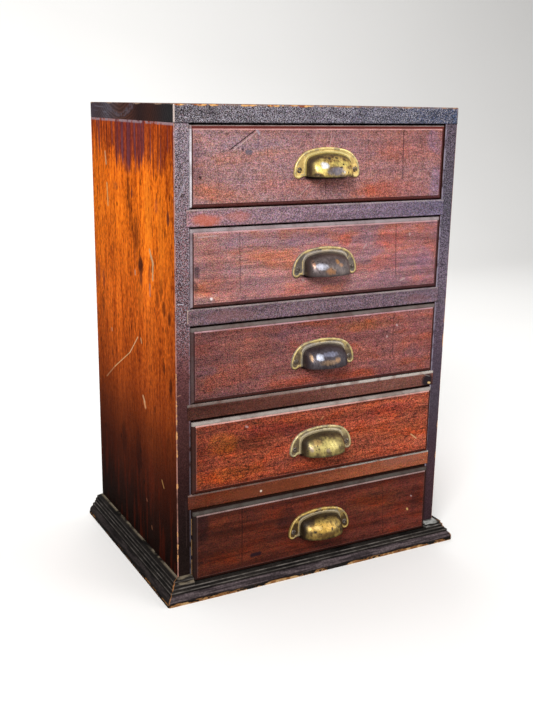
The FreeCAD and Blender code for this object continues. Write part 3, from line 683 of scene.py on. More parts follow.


# The drawers' fronts: the ground at the left and the right end, darker from drawer 1 down to drawer
# 5 mostly as painted shade, and its varnish; the colours of the upper edge, mostly dust, of the
# lower edge, painted shade, of the left edge, a painted highlight that gives way to painted shade
# lower down, and of the arris, a painted highlight; and how far the right end is rubbed.
FRONT_LOOKS = {
    1: dict(
        left=(166, 122, 119), right=(166, 106, 98), low=(78, 26, 20), arris=(214, 160, 156),
        worn_end=0.25, top=(104, 34, 26), top_share=0.85, left_edge=(236, 230, 236),
        left_share=0.95,
        varnish=dict(
            haze=(152, 130, 140), haze_share=0.3, speckle=0.38, weave=0.16, pores_share=0.3,
            figure=0.14, drift=0.6,
        ),
    ),
    2: dict(
        left=(188, 130, 118), right=(168, 108, 108), low=(70, 36, 36), arris=(206, 160, 162),
        worn_end=1, top=(168, 156, 158), top_share=0.85, left_edge=(176, 164, 172), left_share=0.7,
        varnish=dict(
            haze=(156, 128, 142), haze_share=0.35, speckle=0.38, weave=0.12, pores_share=0.4,
            figure=0.3, drift=0.9,
        ),
    ),
    3: dict(
        left=(130, 74, 62), right=(162, 96, 88), low=(60, 28, 24), arris=(196, 152, 158),
        worn_end=0.25, top=(120, 112, 108), top_share=0.8, left_edge=(96, 84, 84), left_share=0.6,
        varnish=dict(
            haze=(132, 98, 106), haze_share=0.25, speckle=0.46, weave=0.12, pores_share=0.4,
            figure=0.24, drift=0.9,
        ),
    ),
    4: dict(
        left=(130, 58, 34), right=(174, 86, 60), low=(60, 24, 16), arris=(222, 168, 158),
        worn_end=0.25, top=(166, 157, 150), top_share=0.95, left_edge=(60, 44, 40), left_share=0.7,
        varnish=dict(
            haze=(132, 72, 66), haze_share=0.2, speckle=0.5, weave=0.08, pores_share=0.8,
            figure=0.4, drift=0.9,
        ),
    ),
    5: dict(
        left=(78, 34, 21), right=(110, 49, 37), low=(40, 20, 16), arris=(168, 140, 136),
        worn_end=0.25, top=(80, 75, 70), top_share=0.9, left_edge=(40, 32, 30), left_share=0.8,
        varnish=dict(
            haze=(82, 46, 42), haze_share=0.2, speckle=0.3, weave=0.06, pores_share=0.5, figure=0.4,
            drift=0.9,
        ),
    ),
}
DARK = (34, 16, 20)
CHALK = (206, 178, 176)
FRONT_MARKS = {
    1: [
        ((-119, 514), (-88, 535), 1.2, 0.9, DARK), ((-116, 513), (-88, 532), 1, 0.6, CHALK),
        ((-85.5, 534), (-86.5, 516), 1.3, 0.55, (84, 74, 96)),
        ((-88, 534), (-85, 530), 2.6, 0.5, (196, 186, 200)),
        ((-105.5, 513), (-105, 464), 1, 0.4, (120, 80, 84)),
        ((106, 532), (108, 478), 1.1, 0.75, DARK),
        ((-99, 510.5), (-95, 510), 5, 0.7, (94, 92, 108)), ((7, 528), (5, 516), 0.9, 0.55, CHALK),
        ((-12, 533), (-18, 519), 0.8, 0.35, CHALK), ((-20, 474), (-34, 461), 1, 0.45, CHALK),
        ((-6, 477), (-22, 461), 0.9, 0.4, CHALK), ((1, 475), (1, 461), 1, 0.6, DARK),
        ((8, 466), (14, 458), 0.8, 0.5, CHALK), ((-155.5, 485), (-154.5, 484), 2.6, 0.85, DARK),
        ((-105.5, 514), (-104.5, 513), 2, 0.8, DARK),
    ],
    2: [
        ((-142.6, 352.6), (-142.2, 352.4), 3, 1, (255, 240, 236)),
        ((-160, 386), (-160, 380), 7, 0.7, (52, 44, 52)),
        ((-162, 370), (-161, 365), 6, 0.6, (52, 44, 52)),
        ((-108, 424), (-107, 358), 1.1, 0.5, DARK),
        ((101, 426), (104, 362), 1.2, 0.6, (58, 40, 54)),
        ((60, 382), (66, 382), 2.6, 0.5, (76, 60, 76)),
        ((88, 371), (95, 370.5), 2.6, 0.6, (76, 56, 70)),
        ((-158, 421), (-136, 422), 1.4, 0.6, CHALK), ((60, 402), (56, 398), 2, 0.5, CHALK),
        ((122, 412), (122, 410), 2.2, 0.5, CHALK), ((-27, 366), (-26, 365), 2.4, 0.5, CHALK),
        ((112, 355), (117, 357), 2.4, 0.55, CHALK),
    ],
    3: [
        ((103, 314), (104, 262), 1.1, 0.6, (60, 34, 38)), ((-108, 310), (-108, 250), 1, 0.3, DARK),
        ((62, 319), (66, 317), 3.4, 0.6, CHALK), ((108, 300), (109, 299), 2.2, 0.7, CHALK),
        ((-16, 236), (-14, 236), 3.4, 0.4, (80, 90, 100)), ((94, 287), (95, 286), 2.2, 0.5, CHALK),
    ],
    4: [
        ((138, 153), (147, 146), 1.6, 0.8, (226, 176, 128)),
        ((-100, 199), (-98, 198), 2.4, 0.5, CHALK), ((2, 193), (5, 196), 1.4, 0.5, (216, 160, 110)),
        ((112, 179), (126, 181), 3.4, 0.6, (70, 30, 34)), ((70, 155), (74, 150), 2.4, 0.5, DARK),
        ((126, 112), (140, 114), 3.6, 0.6, (48, 30, 34)),
    ],
    5: [
        ((-91, 34), (-81, 34.5), 5, 0.85, (26, 20, 30)),
        ((-105, 108), (-104.5, 28), 1.2, 0.6, (30, 14, 12)), ((96.5, 92), (100, 24), 1, 0.45, DARK),
        ((137, 50.5), (138, 49), 2.4, 0.85, (220, 180, 110)),
        ((142, 68), (143, 67), 1.8, 0.5, CHALK),
    ],
}
FRONT_PATCHES = {
    1: [
        ((98, 464), (52, 13), 0.5, (190, 88, 58)), ((95, 511), (34, 12), 0.35, (184, 92, 70)),
        ((-33, 472), (70, 10), 0.3, (180, 96, 76)), ((-138, 469), (32, 10), 0.35, (178, 102, 76)),
        ((-96, 518), (46, 12), 0.4, (152, 126, 130)), ((158, 469), (10, 20), 0.6, (150, 122, 150)),
        ((154, 522), (13, 15), 0.5, (150, 118, 140)), ((-81, 462), (9, 4), 0.55, (170, 136, 138)),
        ((-158, 500), (8, 30), 0.35, (112, 70, 74)),
    ],
    2: [
        ((-142, 390), (17, 30), 0.55, (180, 98, 64)), ((-126, 367), (34, 12), 0.45, (178, 92, 64)),
        ((-70, 414), (60, 12), 0.5, (160, 128, 140)), ((2, 410), (50, 11), 0.4, (150, 112, 130)),
        ((90, 405), (22, 10), 0.6, (190, 86, 54)), ((83, 378), (30, 9), 0.55, (188, 86, 58)),
        ((29, 409), (9, 8), 0.6, (192, 96, 66)), ((148, 372), (14, 24), 0.45, (148, 100, 118)),
        ((-69, 355), (70, 8), 0.4, (168, 86, 64)), ((-152, 350), (16, 5), 0.6, (110, 92, 96)),
    ],
    3: [
        ((-151, 290), (15, 27), 0.5, (100, 56, 54)), ((-88, 289), (24, 17), 0.45, (156, 80, 46)),
        ((61, 304), (42, 8), 0.65, (172, 92, 44)), ((14, 243), (80, 9), 0.5, (160, 72, 50)),
        ((-151, 270), (15, 8), 0.5, (112, 82, 88)), ((-30, 301), (36, 9), 0.35, (140, 98, 106)),
        ((140, 285), (14, 26), 0.35, (156, 88, 84)),
    ],
    4: [
        ((-131, 181), (21, 14), 0.7, (178, 90, 26)), ((-127, 143), (48, 10), 0.6, (166, 76, 28)),
        ((-68, 190), (38, 8), 0.6, (98, 38, 40)), ((-27, 184), (26, 9), 0.5, (98, 40, 44)),
        ((120, 161), (42, 16), 0.5, (176, 82, 44)), ((103, 193), (36, 8), 0.5, (124, 52, 54)),
        ((58, 184), (34, 9), 0.4, (138, 60, 50)), ((17, 125), (70, 10), 0.4, (150, 66, 38)),
        ((-150, 150), (10, 24), 0.4, (96, 44, 30)),
    ],
    5: [
        ((-157, 87), (9, 24), 0.8, (36, 18, 18)), ((-130, 100), (26, 8), 0.5, (50, 26, 22)),
        ((-124, 84), (22, 12), 0.55, (100, 44, 26)), ((-94, 36), (38, 12), 0.5, (100, 42, 20)),
        ((86, 72), (44, 18), 0.55, (122, 60, 36)), ((-43, 72), (14, 15), 0.6, (50, 24, 22)),
        ((50, 20), (60, 10), 0.4, (84, 38, 30)), ((150, 61), (8, 30), 0.6, (70, 34, 30)),
    ],
}
# How wide the moulded edge of a drawer's front is.
EDGE = 4.5 * MM


def front_material(drawer):
    """A drawer's front: hazed, crazed face; moulded edge with dust, grime, painted shade and
    highlight.
    """
    look = FRONT_LOOKS[drawer]
    low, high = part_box(f"drawer_{drawer}_front")
    paint = Paint(f"drawer_{drawer}_front_wood", seed=20 + drawer * 2)
    ground = paint.stops(paint.x, (-0.16, look["left"]), (0.16, look["right"]))
    ground = draw_patches(paint, ground, paint.x, FRONT_PATCHES[drawer])
    colour, height, roughness = old_varnish(paint, ground, **look["varnish"])
    specks = paint.noise(300, detail=1).band(0.66, 0.71)
    colour = paint.layers(colour, (specks * 0.55, (40, 20, 24)))
    colour = draw_lines(paint, colour, paint.x, FRONT_MARKS[drawer])

    middle, _, lip = pull_place(drawer)
    # A painted shadow on the face just under each pull's cup.
    cup_shadow = (
        abs(paint.x - (middle - 0.002)).band(0.03, 0.024)
        * paint.z.band(lip - 0.0058, lip - 0.0022)
        * paint.z.band(lip + 0.004, lip + 0.001)
    )
    from_end, from_top = high.x - abs(paint.x), high.z - paint.z
    from_edge = paint.math("MINIMUM", from_end, from_top)
    from_edge = paint.math("MINIMUM", from_edge, paint.z - low.z)
    # Grime and painted shade darken the face within 16 mm of its edges.
    grime_and_shade = from_edge.band(0.016, 0.004) * paint.noise(90, detail=3)
    border = from_edge.band(EDGE, EDGE - 0.0004)
    uneven = paint.noise(46, detail=4, roughness=0.7).band(0.34, 0.6).spread(0.55, 1)
    on_left = border * from_end.band(EDGE - 0.0001, EDGE - 0.0007) * paint.x.band(0, -0.01)
    on_top = border * from_top.band(EDGE - 0.0001, EDGE - 0.0007)
    outer = from_end.band(0.0034, 0.0026)
    # The lower and right edges take the low colour as painted shade; the left edge is a painted
    # highlight on the upper drawers and painted shade lower down, with a painted shadow of the step
    # along its inner side; the upper edge carries dust.
    colour = paint.layers(
        colour,
        (cup_shadow * 0.95, (14, 6, 8)),
        (grime_and_shade * 0.5, 0.45),
        (border * 0.85, look["low"]),
        (on_left * outer * uneven * look["left_share"], look["left_edge"]),
        (on_left * (1 - outer) * 0.7, (48, 24, 26)),
        (on_top * uneven * look["top_share"], look["top"]),
    )
    if drawer == 1:
        # Drawer 1 has a painted highlight along the outer fillet of its upper edge.
        outer_highlight = from_top.band(0.0014, 0.0009) * uneven * 0.8
        colour = paint.layers(colour, (outer_highlight, (176, 160, 156)))
    # A painted highlight runs along the moulding's arris, strongest on the upper edge.
    upper_arris = from_top.band(0.006, 0.005).spread(0.12, 0.95)
    arris = abs(from_edge - EDGE).band(0.001, 0.0004) * upper_arris
    worn_end = (
        paint.x.band(0, 0.01)
        * from_end.band(0.0008, 0.0003)
        * paint.noise(30).band(0.38, 0.56)
        * look["worn_end"]
    )
    # The front's end faces are dark near the face as painted shade in the gap, lighter where rubbed
    # at the right end.
    plain = paint.layers(
        raw_wood(paint, 0, (140, 84, 52), 0.65),
        (
            paint.y.band(low.y + 0.0125, low.y + 0.0085),
            paint.mix(worn_end, (40, 24, 22), (176, 104, 62)),
        ),
    )
    behind = paint.y.band(low.y + 0.0036, low.y + 0.005)
    colour = paint.layers(colour, (arris * uneven, look["arris"]), (behind, plain))
    return paint.finish(colour, roughness, (height, 0.4, 0.0006), specular=0.12)


def plain_wood(name, axis, seed, base, dirt, dirt_share):
    """Bare old softwood with darker late wood, dirt and dull handling marks."""
    paint = Paint(name, seed)
    streaks = wood_streaks(paint, axis)
    rings = along_grain(paint, axis, 95, 2.2, distortion=0.6)
    late = abs(rings * 9 % 1 - 0.5).band(0.32, 0.5)
    stain = paint.noise(18, detail=4, roughness=0.65).band(0.42, 0.72)
    colour = paint.layers(
        paint.shade(base, streaks.spread(0.78, 1.18)),
        (late * 0.35, dirt),
        (wood_pores(paint, axis) * 0.3, (60, 40, 26)),
        (stain * dirt_share, dirt),
    )
    bump = (streaks * 0.6 + late * 0.3, 0.3, 0.0005)
    return paint.finish(colour, stain.spread(0.62, 0.78), bump, specular=0.2)


PLINTH_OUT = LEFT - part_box("plinth_left")[0].x
TOE = 3.5 * MM
# The arrises of the moulding: how far out, how high, and how light the line along each is, rubbed
# paint and painted highlight together.
PLINTH_LINES = [(8.3, 24.9, 0.35), (10.4, 21.2, 0.55), (12, 17.5, 0.75), (14.8, 14.3, 0.6)]


def plinth_material(name, seed):
    """Black paint on the moulding, rubbed along the toe and on the small arrises, with painted
    highlights and shade.
    """
    paint = Paint(name, seed)
    out_x, out_y = abs(paint.x) - RIGHT, FRONT - paint.y
    out = paint.math("MAXIMUM", out_x, out_y)
    in_front = (out_y - out_x).band(-0.0004, 0.0004)

    streaks = paint.noise((30, 30, 460), detail=3)
    grains = paint.noise(420, detail=1).band(0.36, 0.64)
    black = paint.mix(streaks.band(0.35, 0.65), (22, 20, 19), (44, 40, 37))
    # The ovolo's purple-grey is a painted sheen on the black paint.
    ovolo_sheen = paint.mix(streaks.band(0.4, 0.6), (50, 42, 44), (92, 80, 82))
    ovolo = paint.z.band(TOE, TOE + 0.002) * paint.z.band(0.0128, 0.0104)
    # The returns are the same black, darkened as painted shade.
    colour = paint.mix(in_front, paint.shade(black, 0.7), black)
    colour = paint.layers(colour, (ovolo * in_front.spread(0.15, 0.9), ovolo_sheen))
    colour = paint.shade(colour, grains.spread(0.75, 1.25))
    # Lines along the arrises: rubbed paint and painted highlights.
    for away, level, strength in PLINTH_LINES:
        far = abs(out - away * MM) + abs(paint.z - level * MM)
        rubbed = paint.noise(60 + level, detail=3).band(0.35, 0.65).spread(0.3, 1)
        line = far.band(0.0013, 0.0005) * rubbed * in_front.spread(0.6, 1) * strength
        colour = paint.layers(colour, (line, (134, 126, 120)))
    from_toe = abs(out - PLINTH_OUT)
    worn = worn_arris(paint, from_toe + paint.z * 0.9, 0.0028, along=30, amount=(0.44, 0.56))
    toe_line = (from_toe + abs(paint.z - TOE)).band(0.001, 0.0004)
    corner = abs(out_x - out_y).band(0.0016, 0.0006)
    stile_foot = (
        abs(paint.x).band(RIGHT - STILE - 0.002, RIGHT - STILE + 0.001)
        * out_x.band(0.004, 0.001)
        * paint.z.band(0.019, 0.0215)
        * paint.noise((60, 60, 400), detail=3).band(0.4, 0.6)
    )
    powder = paint.mix(paint.x.band(-0.01, 0.01), (126, 114, 96), (176, 176, 172))
    colour = paint.layers(
        colour,
        (worn * in_front.spread(0.2, 0.8), (160, 108, 62)),
        (worn * in_front * paint.noise(150, detail=3).band(0.45, 0.65) * 0.6, (222, 184, 132)),
        (toe_line * paint.noise(60, detail=4).band(0.5, 0.62) * 0.7, (176, 124, 74)),
        (corner * paint.noise(90, detail=4).band(0.42, 0.56) * 0.75, (176, 120, 72)),
        (stile_foot * 0.85, powder),
    )
    bump = (streaks + grains * 0.4, 0.35, 0.0005)
    return paint.finish(colour, streaks.spread(0.45, 0.65), bump, specular=0.08)


# The pulls' colours, and how little of the cup's brass is dull. The shoulder colour is painted
# shade on the cup near its root and along its lip, and a painted reflection at its left end.
BRASS_LOOKS = {
    1: dict(
        bead=(255, 228, 150), channel=(246, 208, 126), light=(252, 218, 122), dull=(124, 94, 52),
        shoulder=(64, 54, 42), cup=0.2, edge=(150, 144, 84), root=(196, 178, 112),
    ),
    2: dict(
        bead=(224, 196, 134), channel=(120, 110, 102), light=(150, 136, 128), dull=(96, 84, 84),
        shoulder=(62, 52, 50), cup=0.6, edge=(150, 140, 134), root=(160, 150, 142),
    ),
    3: dict(
        bead=(230, 204, 134), channel=(128, 108, 84), light=(112, 104, 108), dull=(64, 56, 62),
        shoulder=(60, 50, 52), cup=0.7, edge=(172, 160, 148), root=(156, 148, 140),
    ),
    4: dict(
        bead=(222, 202, 146), channel=(132, 112, 84), light=(196, 176, 104), dull=(112, 94, 62),
        shoulder=(60, 50, 38), cup=0.35, edge=(176, 162, 138), root=(176, 162, 136),
    ),
    5: dict(
        bead=(222, 186, 104), channel=(88, 66, 38), light=(206, 172, 88), dull=(92, 72, 38),
        shoulder=(42, 32, 24), cup=0.35, edge=(150, 122, 66), root=(150, 140, 120),
    ),
}
# The squared outline within which the plate is dull at the cup's root.
ROOT_HALF, ROOT_RISE = 29.6 * MM, 26.6 * MM
# Tarnish and rubbed places on the cups, in millimetres across from the middle and up from the
# lip: centre, half size, strength and colour. The near-white and pale blue spots are painted
# highlights, the bright yellow sweeps are in part painted highlights, and the dark mark at the
# left of pull 1's lip is painted shade.
CUP_MARKS = {
    1: [
        ((-17, 11), (7, 7), 0.7, (244, 220, 122)), ((8, 14), (14, 3), 0.6, (236, 214, 118)),
        ((-1, 6), (11, 5), 0.95, (112, 106, 116)), ((-14, 12.5), (4.2, 3.6), 0.95, (246, 246, 252)),
        ((-6, 20), (2, 1.4), 0.9, (26, 22, 26)), ((3.6, 20.2), (2.2, 1.3), 0.9, (26, 22, 26)),
        ((9.2, 13.3), (1, 1), 0.9, (34, 28, 30)), ((6.5, 10.5), (1, 0.9), 0.8, (34, 28, 30)),
        ((9.6, 5.1), (1, 1.4), 0.9, (230, 220, 200)), ((-22, 2.6), (4, 1.2), 0.8, (40, 34, 30)),
    ],
    2: [
        ((-14, 11.2), (6.5, 3.6), 0.8, (206, 206, 220)), ((-5, 5.8), (6, 4), 0.7, (178, 122, 72)),
        ((6.4, 16), (2.6, 2.4), 0.75, (190, 134, 80)), ((-23, 14.7), (2, 5), 0.55, (180, 126, 92)),
        ((10, 12), (3, 2), 0.5, (184, 130, 84)),
    ],
    3: [
        ((-14, 13.4), (4.2, 3.4), 0.95, (228, 232, 250)),
        ((0, 15.8), (10, 2.6), 0.6, (150, 152, 176)),
        ((-23.6, 13.3), (2, 4.6), 0.7, (190, 150, 104)), ((-4, 7), (11, 3), 0.55, (168, 134, 100)),
        ((8, 9), (4, 3), 0.55, (176, 134, 92)),
    ],
    4: [
        ((0, 12), (15, 6), 0.75, (216, 198, 120)), ((-3, 7.5), (3, 2.4), 0.7, (136, 116, 112)),
        ((-22.4, 9.8), (2.6, 3.4), 0.6, (140, 122, 124)),
        ((-14, 16.8), (5, 3), 0.55, (222, 180, 110)),
    ],
    5: [
        ((-5, 13.5), (15, 5), 0.85, (226, 180, 84)), ((-12, 14), (5, 2.4), 0.6, (246, 214, 138)),
        ((-16.4, 10), (1.9, 1.4), 0.95, (30, 24, 22)), ((6.4, 11.2), (1.3, 1.9), 0.9, (36, 28, 26)),
        ((-8, 5), (16, 3.4), 0.4, (128, 92, 44)),
    ],
}


def pull_place(drawer):
    """The middle of a pull, the face of its drawer's front and the level of its cup's lip."""
    low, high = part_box(f"drawer_{drawer}_pull")
    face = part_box(f"drawer_{drawer}_front")[0].y
    return (low.x + high.x) / 2, face, low.z + LIP_LEVEL


def brass_material(drawer):
    """Cast brass: rubbed bright on the beads, brown and pitted in the hollows."""
    look = BRASS_LOOKS[drawer]
    middle, face, lip = pull_place(drawer)
    paint = Paint(f"pull_{drawer}_brass", seed=40 + drawer * 3)
    across, up, out = paint.x - middle, paint.z - lip, face - paint.y
    patches = paint.noise(120, detail=4, roughness=0.65).band(0.4, 0.6)
    bead = paint.layers(
        paint.shade(look["bead"], patches.spread(1.1, 0.74)),
        (paint.noise(100).band(0.52, 0.6) * 0.55, (138, 128, 122)),
    )
    upper_part = up.band(0.012, 0.021) * patches.band(0.9, 0.2)
    channel = paint.layers(
        paint.shade(look["channel"], patches.spread(1.15, 0.7)),
        (upper_part * 0.7, paint.shade(bead, 0.9)),
    )

    tarnish = paint.noise(90, detail=4, roughness=0.65).band(0.4, 0.6).spread(look["cup"], 1)
    cup = paint.mix(tarnish, look["light"], look["dull"])
    ragged = (paint.noise(260, detail=3, roughness=0.7) - 0.5) * 2.4
    # Among the cup marks are painted highlights and painted shade.
    cup = draw_spots(paint, cup, across / MM, up / MM, ragged, (1.7, 0.1), CUP_MARKS[drawer])
    # Painted shade on the cup near its root.
    cup = paint.layers(cup, (out.band(0.0165, 0.0085) * 0.9, look["shoulder"]))
    brushed = paint.noise((420, 420, 160), detail=1).band(0.4, 0.6)
    # Painted reflection darkens the cup's left end, and painted shade the cup along its lip.
    cup = paint.layers(
        paint.shade(cup, brushed.spread(0.84, 1.16)),
        (across.band(-0.0215, -0.0275) * 0.75, look["shoulder"]),
        (up.band(0.0028, 0.0006) * 0.6, look["shoulder"]),
    )

    on_cup = out.band(BEAD_TOP + 0.0001, BEAD_TOP + 0.0008)
    root = ((abs(across) / ROOT_HALF) ** 5 + (abs(up) / ROOT_RISE) ** 5).band(1.25, 1)
    pits = paint.noise(380, detail=1).band(0.66, 0.71)
    colour = paint.layers(
        bead,
        (out.band(FLANGE + 0.0004, FLANGE + 0.0001), channel),
        (out.band(FLANGE - 0.0001, FLANGE - 0.0005) * 0.75, look["edge"]),
        (root * 0.8, look["root"]),
        (on_cup, cup),
        (pits * on_cup * 0.85, (34, 26, 26)),
    )
    bump = (paint.noise(240, detail=3) - pits * 0.8, 0.25, 0.0005)
    metal = on_cup.spread(0.25, 0.45)
    return paint.finish(colour, patches.spread(0.3, 0.46), bump, metal, specular=0.5)


def steel_material():
    """Darkened steel of the screws and nails."""
    paint = Paint("dark_steel", seed=70)
    rust = paint.noise(700, detail=3).band(0.4, 0.65)
    colour = paint.mix(rust, (150, 138, 128), (84, 70, 62))
    return paint.finish(colour, rust.spread(0.35, 0.6), (paint.noise(900), 0.2, 0.0002), metal=0.7)


def add_mesh(name, mesh, material):
    """Put a finished bmesh into the scene."""
    data = bpy.data.meshes.new(name)
    mesh.normal_update()
    mesh.to_mesh(data)
    mesh.free()
    data.materials.append(material)
    piece = bpy.data.objects.new(name, data)
    bpy.context.scene.collection.objects.link(piece)
    return piece


def add_piece(name, mesh, material, body):
    """Put a finished bmesh into the scene as a piece that rides on a body."""
    piece = add_mesh(name, mesh, material)
    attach(piece, body)
    return piece


def skin_rows(mesh, rows):
    """Faces from each row of points to the next."""
    for one, two in zip(rows, rows[1:]):
        for corners in zip(one, one[1:], two[1:], two):
            mesh.faces.new(corners)


def screw_mesh(centre, turn):
    """A domed, slotted screw head that faces the front, with its conical underside."""
    mesh = bmesh.new()
    turned = Matrix.Rotation(math.radians(turn), 4, "Y")
    half_slot = SLOT_WIDTH / 2
    start = math.asin(half_slot / SCREW_HEAD)
    spaces = [start + (math.pi - 2 * start) * step / SCREW_SIDES for step in range(SCREW_SIDES + 1)]

    def point(across, depth, up):
        return mesh.verts.new(centre + turned @ Vector((across, depth, up)))

    for half in (1, -1):
        rim = [(math.cos(angle) * half, math.sin(angle) * half) for angle in spaces]
        rows = [[point(x * SCREW_NECK, SCREW_NECK_DEPTH, z * SCREW_NECK) for x, z in rim]]
        for share in (1, 0.8, 0.5, 0):
            row = []
            for x, z in rim:
                across = x * SCREW_HEAD * (share or 1)
                up = half * half_slot + (z * SCREW_HEAD - half * half_slot) * share
                from_middle = min(math.hypot(across, up) / SCREW_HEAD, 1)
                row.append(point(across, SCREW_DOME * (from_middle**2 - 1), up))
            rows.append(row)
        rows.append([mesh.verts.new(v.co + Vector((0, SLOT_DEPTH, 0))) for v in rows[-1]])
        skin_rows(mesh, rows)
    floor = SLOT_DEPTH - SCREW_DOME * 0.4
    corners = ((-1, -1), (1, -1), (1, 1), (-1, 1))
    mesh.faces.new([point(x * SCREW_HEAD, floor, z * half_slot) for x, z in corners])
    return mesh


def arc(centre, radius, first, last, steps):
    """Points on an arc from one angle to another, without its last point."""
    angles = [first + (last - first) * step / steps for step in range(steps)]
    return [(centre[0] + radius * math.cos(a), centre[1] + radius * math.sin(a)) for a in angles]


def arch_points(half, rise, shoulder, level, first=(), steps=(3, 9, 8)):
    """Half of a three-centred arch from its right foot, or from the first points, to its crown."""
    drop, reach = rise - level, half - shoulder
    crown = (reach**2 + drop**2 - shoulder**2) / (2 * (drop - shoulder))
    turn = math.atan2(level - (rise - crown), reach)
    points = list(first)
    foot = first[-1][1] if first else 0
    if level > foot:
        points += [(half, foot + (level - foot) * step / steps[0]) for step in range(steps[0])]
    points += arc((reach, level), shoulder, 0, turn, steps[1])
    points += arc((0, rise - crown), crown, turn, math.pi / 2, steps[2])
    return points + [(0, rise)]


def both_halves(points):
    """The right half of an outline and its mirror image, as one line."""
    return points + [(-x, z) for x, z in reversed(points[:-1])]


def between(start, end, share):
    return tuple(a + (b - a) * share for a, b in zip(start, end))


def evenly(points, shares):
    """Points at shares of a line's length."""
    lengths = [0]
    for start, end in zip(points, points[1:]):
        lengths.append(lengths[-1] + math.dist(start, end))
    found = []
    index = 0
    for share in shares:
        goal = share * lengths[-1]
        while index < len(points) - 2 and lengths[index + 1] < goal:
            index += 1
        part = (goal - lengths[index]) / (lengths[index + 1] - lengths[index])
        found.append(between(points[index], points[index + 1], part))
    return found


def nearest(point, line):
    """The distance from a point to a line of points."""
    best = math.inf
    for start, end in zip(line, line[1:]):
        run, rise = end[0] - start[0], end[1] - start[1]
        share = ((point[0] - start[0]) * run + (point[1] - start[1]) * rise) / (run**2 + rise**2)
        best = min(best, math.dist(point, between(start, end, min(1, max(0, share)))))
    return best


def bead(distance, middle, half_width, foot):
    """The height of a round bead that runs along a line, in millimetres."""
    aside = (distance - middle) / half_width
    return foot + (BEAD_TOP / MM - foot) * math.sqrt(1 - aside**2) if abs(aside) < 1 else 0


def flange_rows(outer, inner):
    """The plate from its edge to the cup's root, with a bead along both."""
    edge_level = 0.9
    steps = 16
    rows = []
    for step in range(steps + 1):
        row = []
        for edge, root in zip(outer, inner):
            place = between(edge, root, step / steps)
            outer_bead = bead(nearest(place, outer), 1.5, 1.55, edge_level)
            inner_bead = bead(nearest(place, inner), 1.2, 1.5, 1)
            plate = FLANGE / MM if step else edge_level
            row.append((*place, max(outer_bead, inner_bead, plate)))
        rows.append(row)
    return rows


def shell_rows(inset):
    """The cup's outer face, or its hollow when set in, from the root to the lip."""
    root, lip = (
        both_halves(
            arch_points(CUP_HALF - inset, CUP_RISE - inset, form["shoulder"] - inset, form["level"])
        )
        for form in (CUP_ROOT, CUP_LIP)
    )
    turns = 14
    rows = []
    for step in range(turns + 1):
        angle = math.pi / 2 * step / turns
        share = math.sin(angle) ** 2
        rows.append(
            [
                (a[0] * (1 - share) + b[0] * share, a[1] * math.cos(angle), b[1] * math.sin(angle))
                for a, b in zip(root, lip)
            ]
        )
    return rows


def pull_rows():
    """The rows of points of a pull's flange, wall, cup, hollow and rim, as (across, up, out)."""
    lug_centre = (PULL_HALF - LUG, LUG_LEVEL)
    foot_angle = math.asin(LUG_LEVEL / LUG)
    foot = lug_centre[0] - LUG * math.cos(foot_angle)
    lead = [(CUP_HALF, 0), ((CUP_HALF + foot) / 2, 0)]
    lead += arc(lug_centre, LUG, foot_angle - math.pi, 0, 12)
    outer = arch_points(PULL_HALF, PULL_RISE, PULL_SHOULDER, LUG_LEVEL, lead, (0, 16, 6))
    lead_share = 0.2
    rest = len(outer) - len(lead)
    shares = [lead_share * step / len(lead) for step in range(len(lead))]
    shares += [lead_share + (1 - lead_share) * step / (rest - 1) for step in range(rest)]
    inner = both_halves(evenly(arch_points(CUP_HALF, CUP_RISE, **CUP_ROOT), shares))
    outer = both_halves(outer)

    flange = flange_rows(outer, inner)
    wall = [[(x, z, 0) for x, z in outer], flange[0]]
    cup, hollow = shell_rows(0), shell_rows(CUP_WALL)
    return flange, wall, cup, hollow, [cup[-1], hollow[-1]]


def add_pulls():
    """Cast pulls with round beads and squarer cups in place of the plainer packed ones."""
    parts = pull_rows()
    for drawer in DRAWERS:
        middle, face, lip = pull_place(drawer)
        mesh = bmesh.new()
        for rows in parts:
            grid = [
                [
                    mesh.verts.new((middle + x * MM, face - out * MM, lip + z * MM))
                    for x, z, out in row
                ]
                for row in rows
            ]
            skin_rows(mesh, grid)
        bmesh.ops.remove_doubles(mesh, verts=mesh.verts, dist=0.02 * MM)
        bmesh.ops.recalc_face_normals(mesh, faces=mesh.faces)
        name, material = f"pull_{drawer}_casting", brass_material(drawer)
        piece = add_piece(name, mesh, material, f"drawer_{drawer}")
        piece.data.shade_smooth()
        piece.data.set_sharp_from_angle(angle=math.radians(50))
        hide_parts(f"drawer_{drawer}_pull")


def add_screws(material):
    """Two slotted screws in each pull."""
    for drawer in DRAWERS:
        middle, face, lip = pull_place(drawer)
        for side, sign, turn in zip(SIDES, (-1, 1), SLOT_TURNS[drawer]):
            centre = Vector((middle + sign * SCREW_SPREAD, face - FLANGE, lip + SCREW_LEVEL))
            name = f"drawer_{drawer}_{side}_screw"
            mesh = screw_mesh(centre, turn)
            piece = add_piece(name, mesh, material, f"drawer_{drawer}")
            piece.data.shade_smooth()


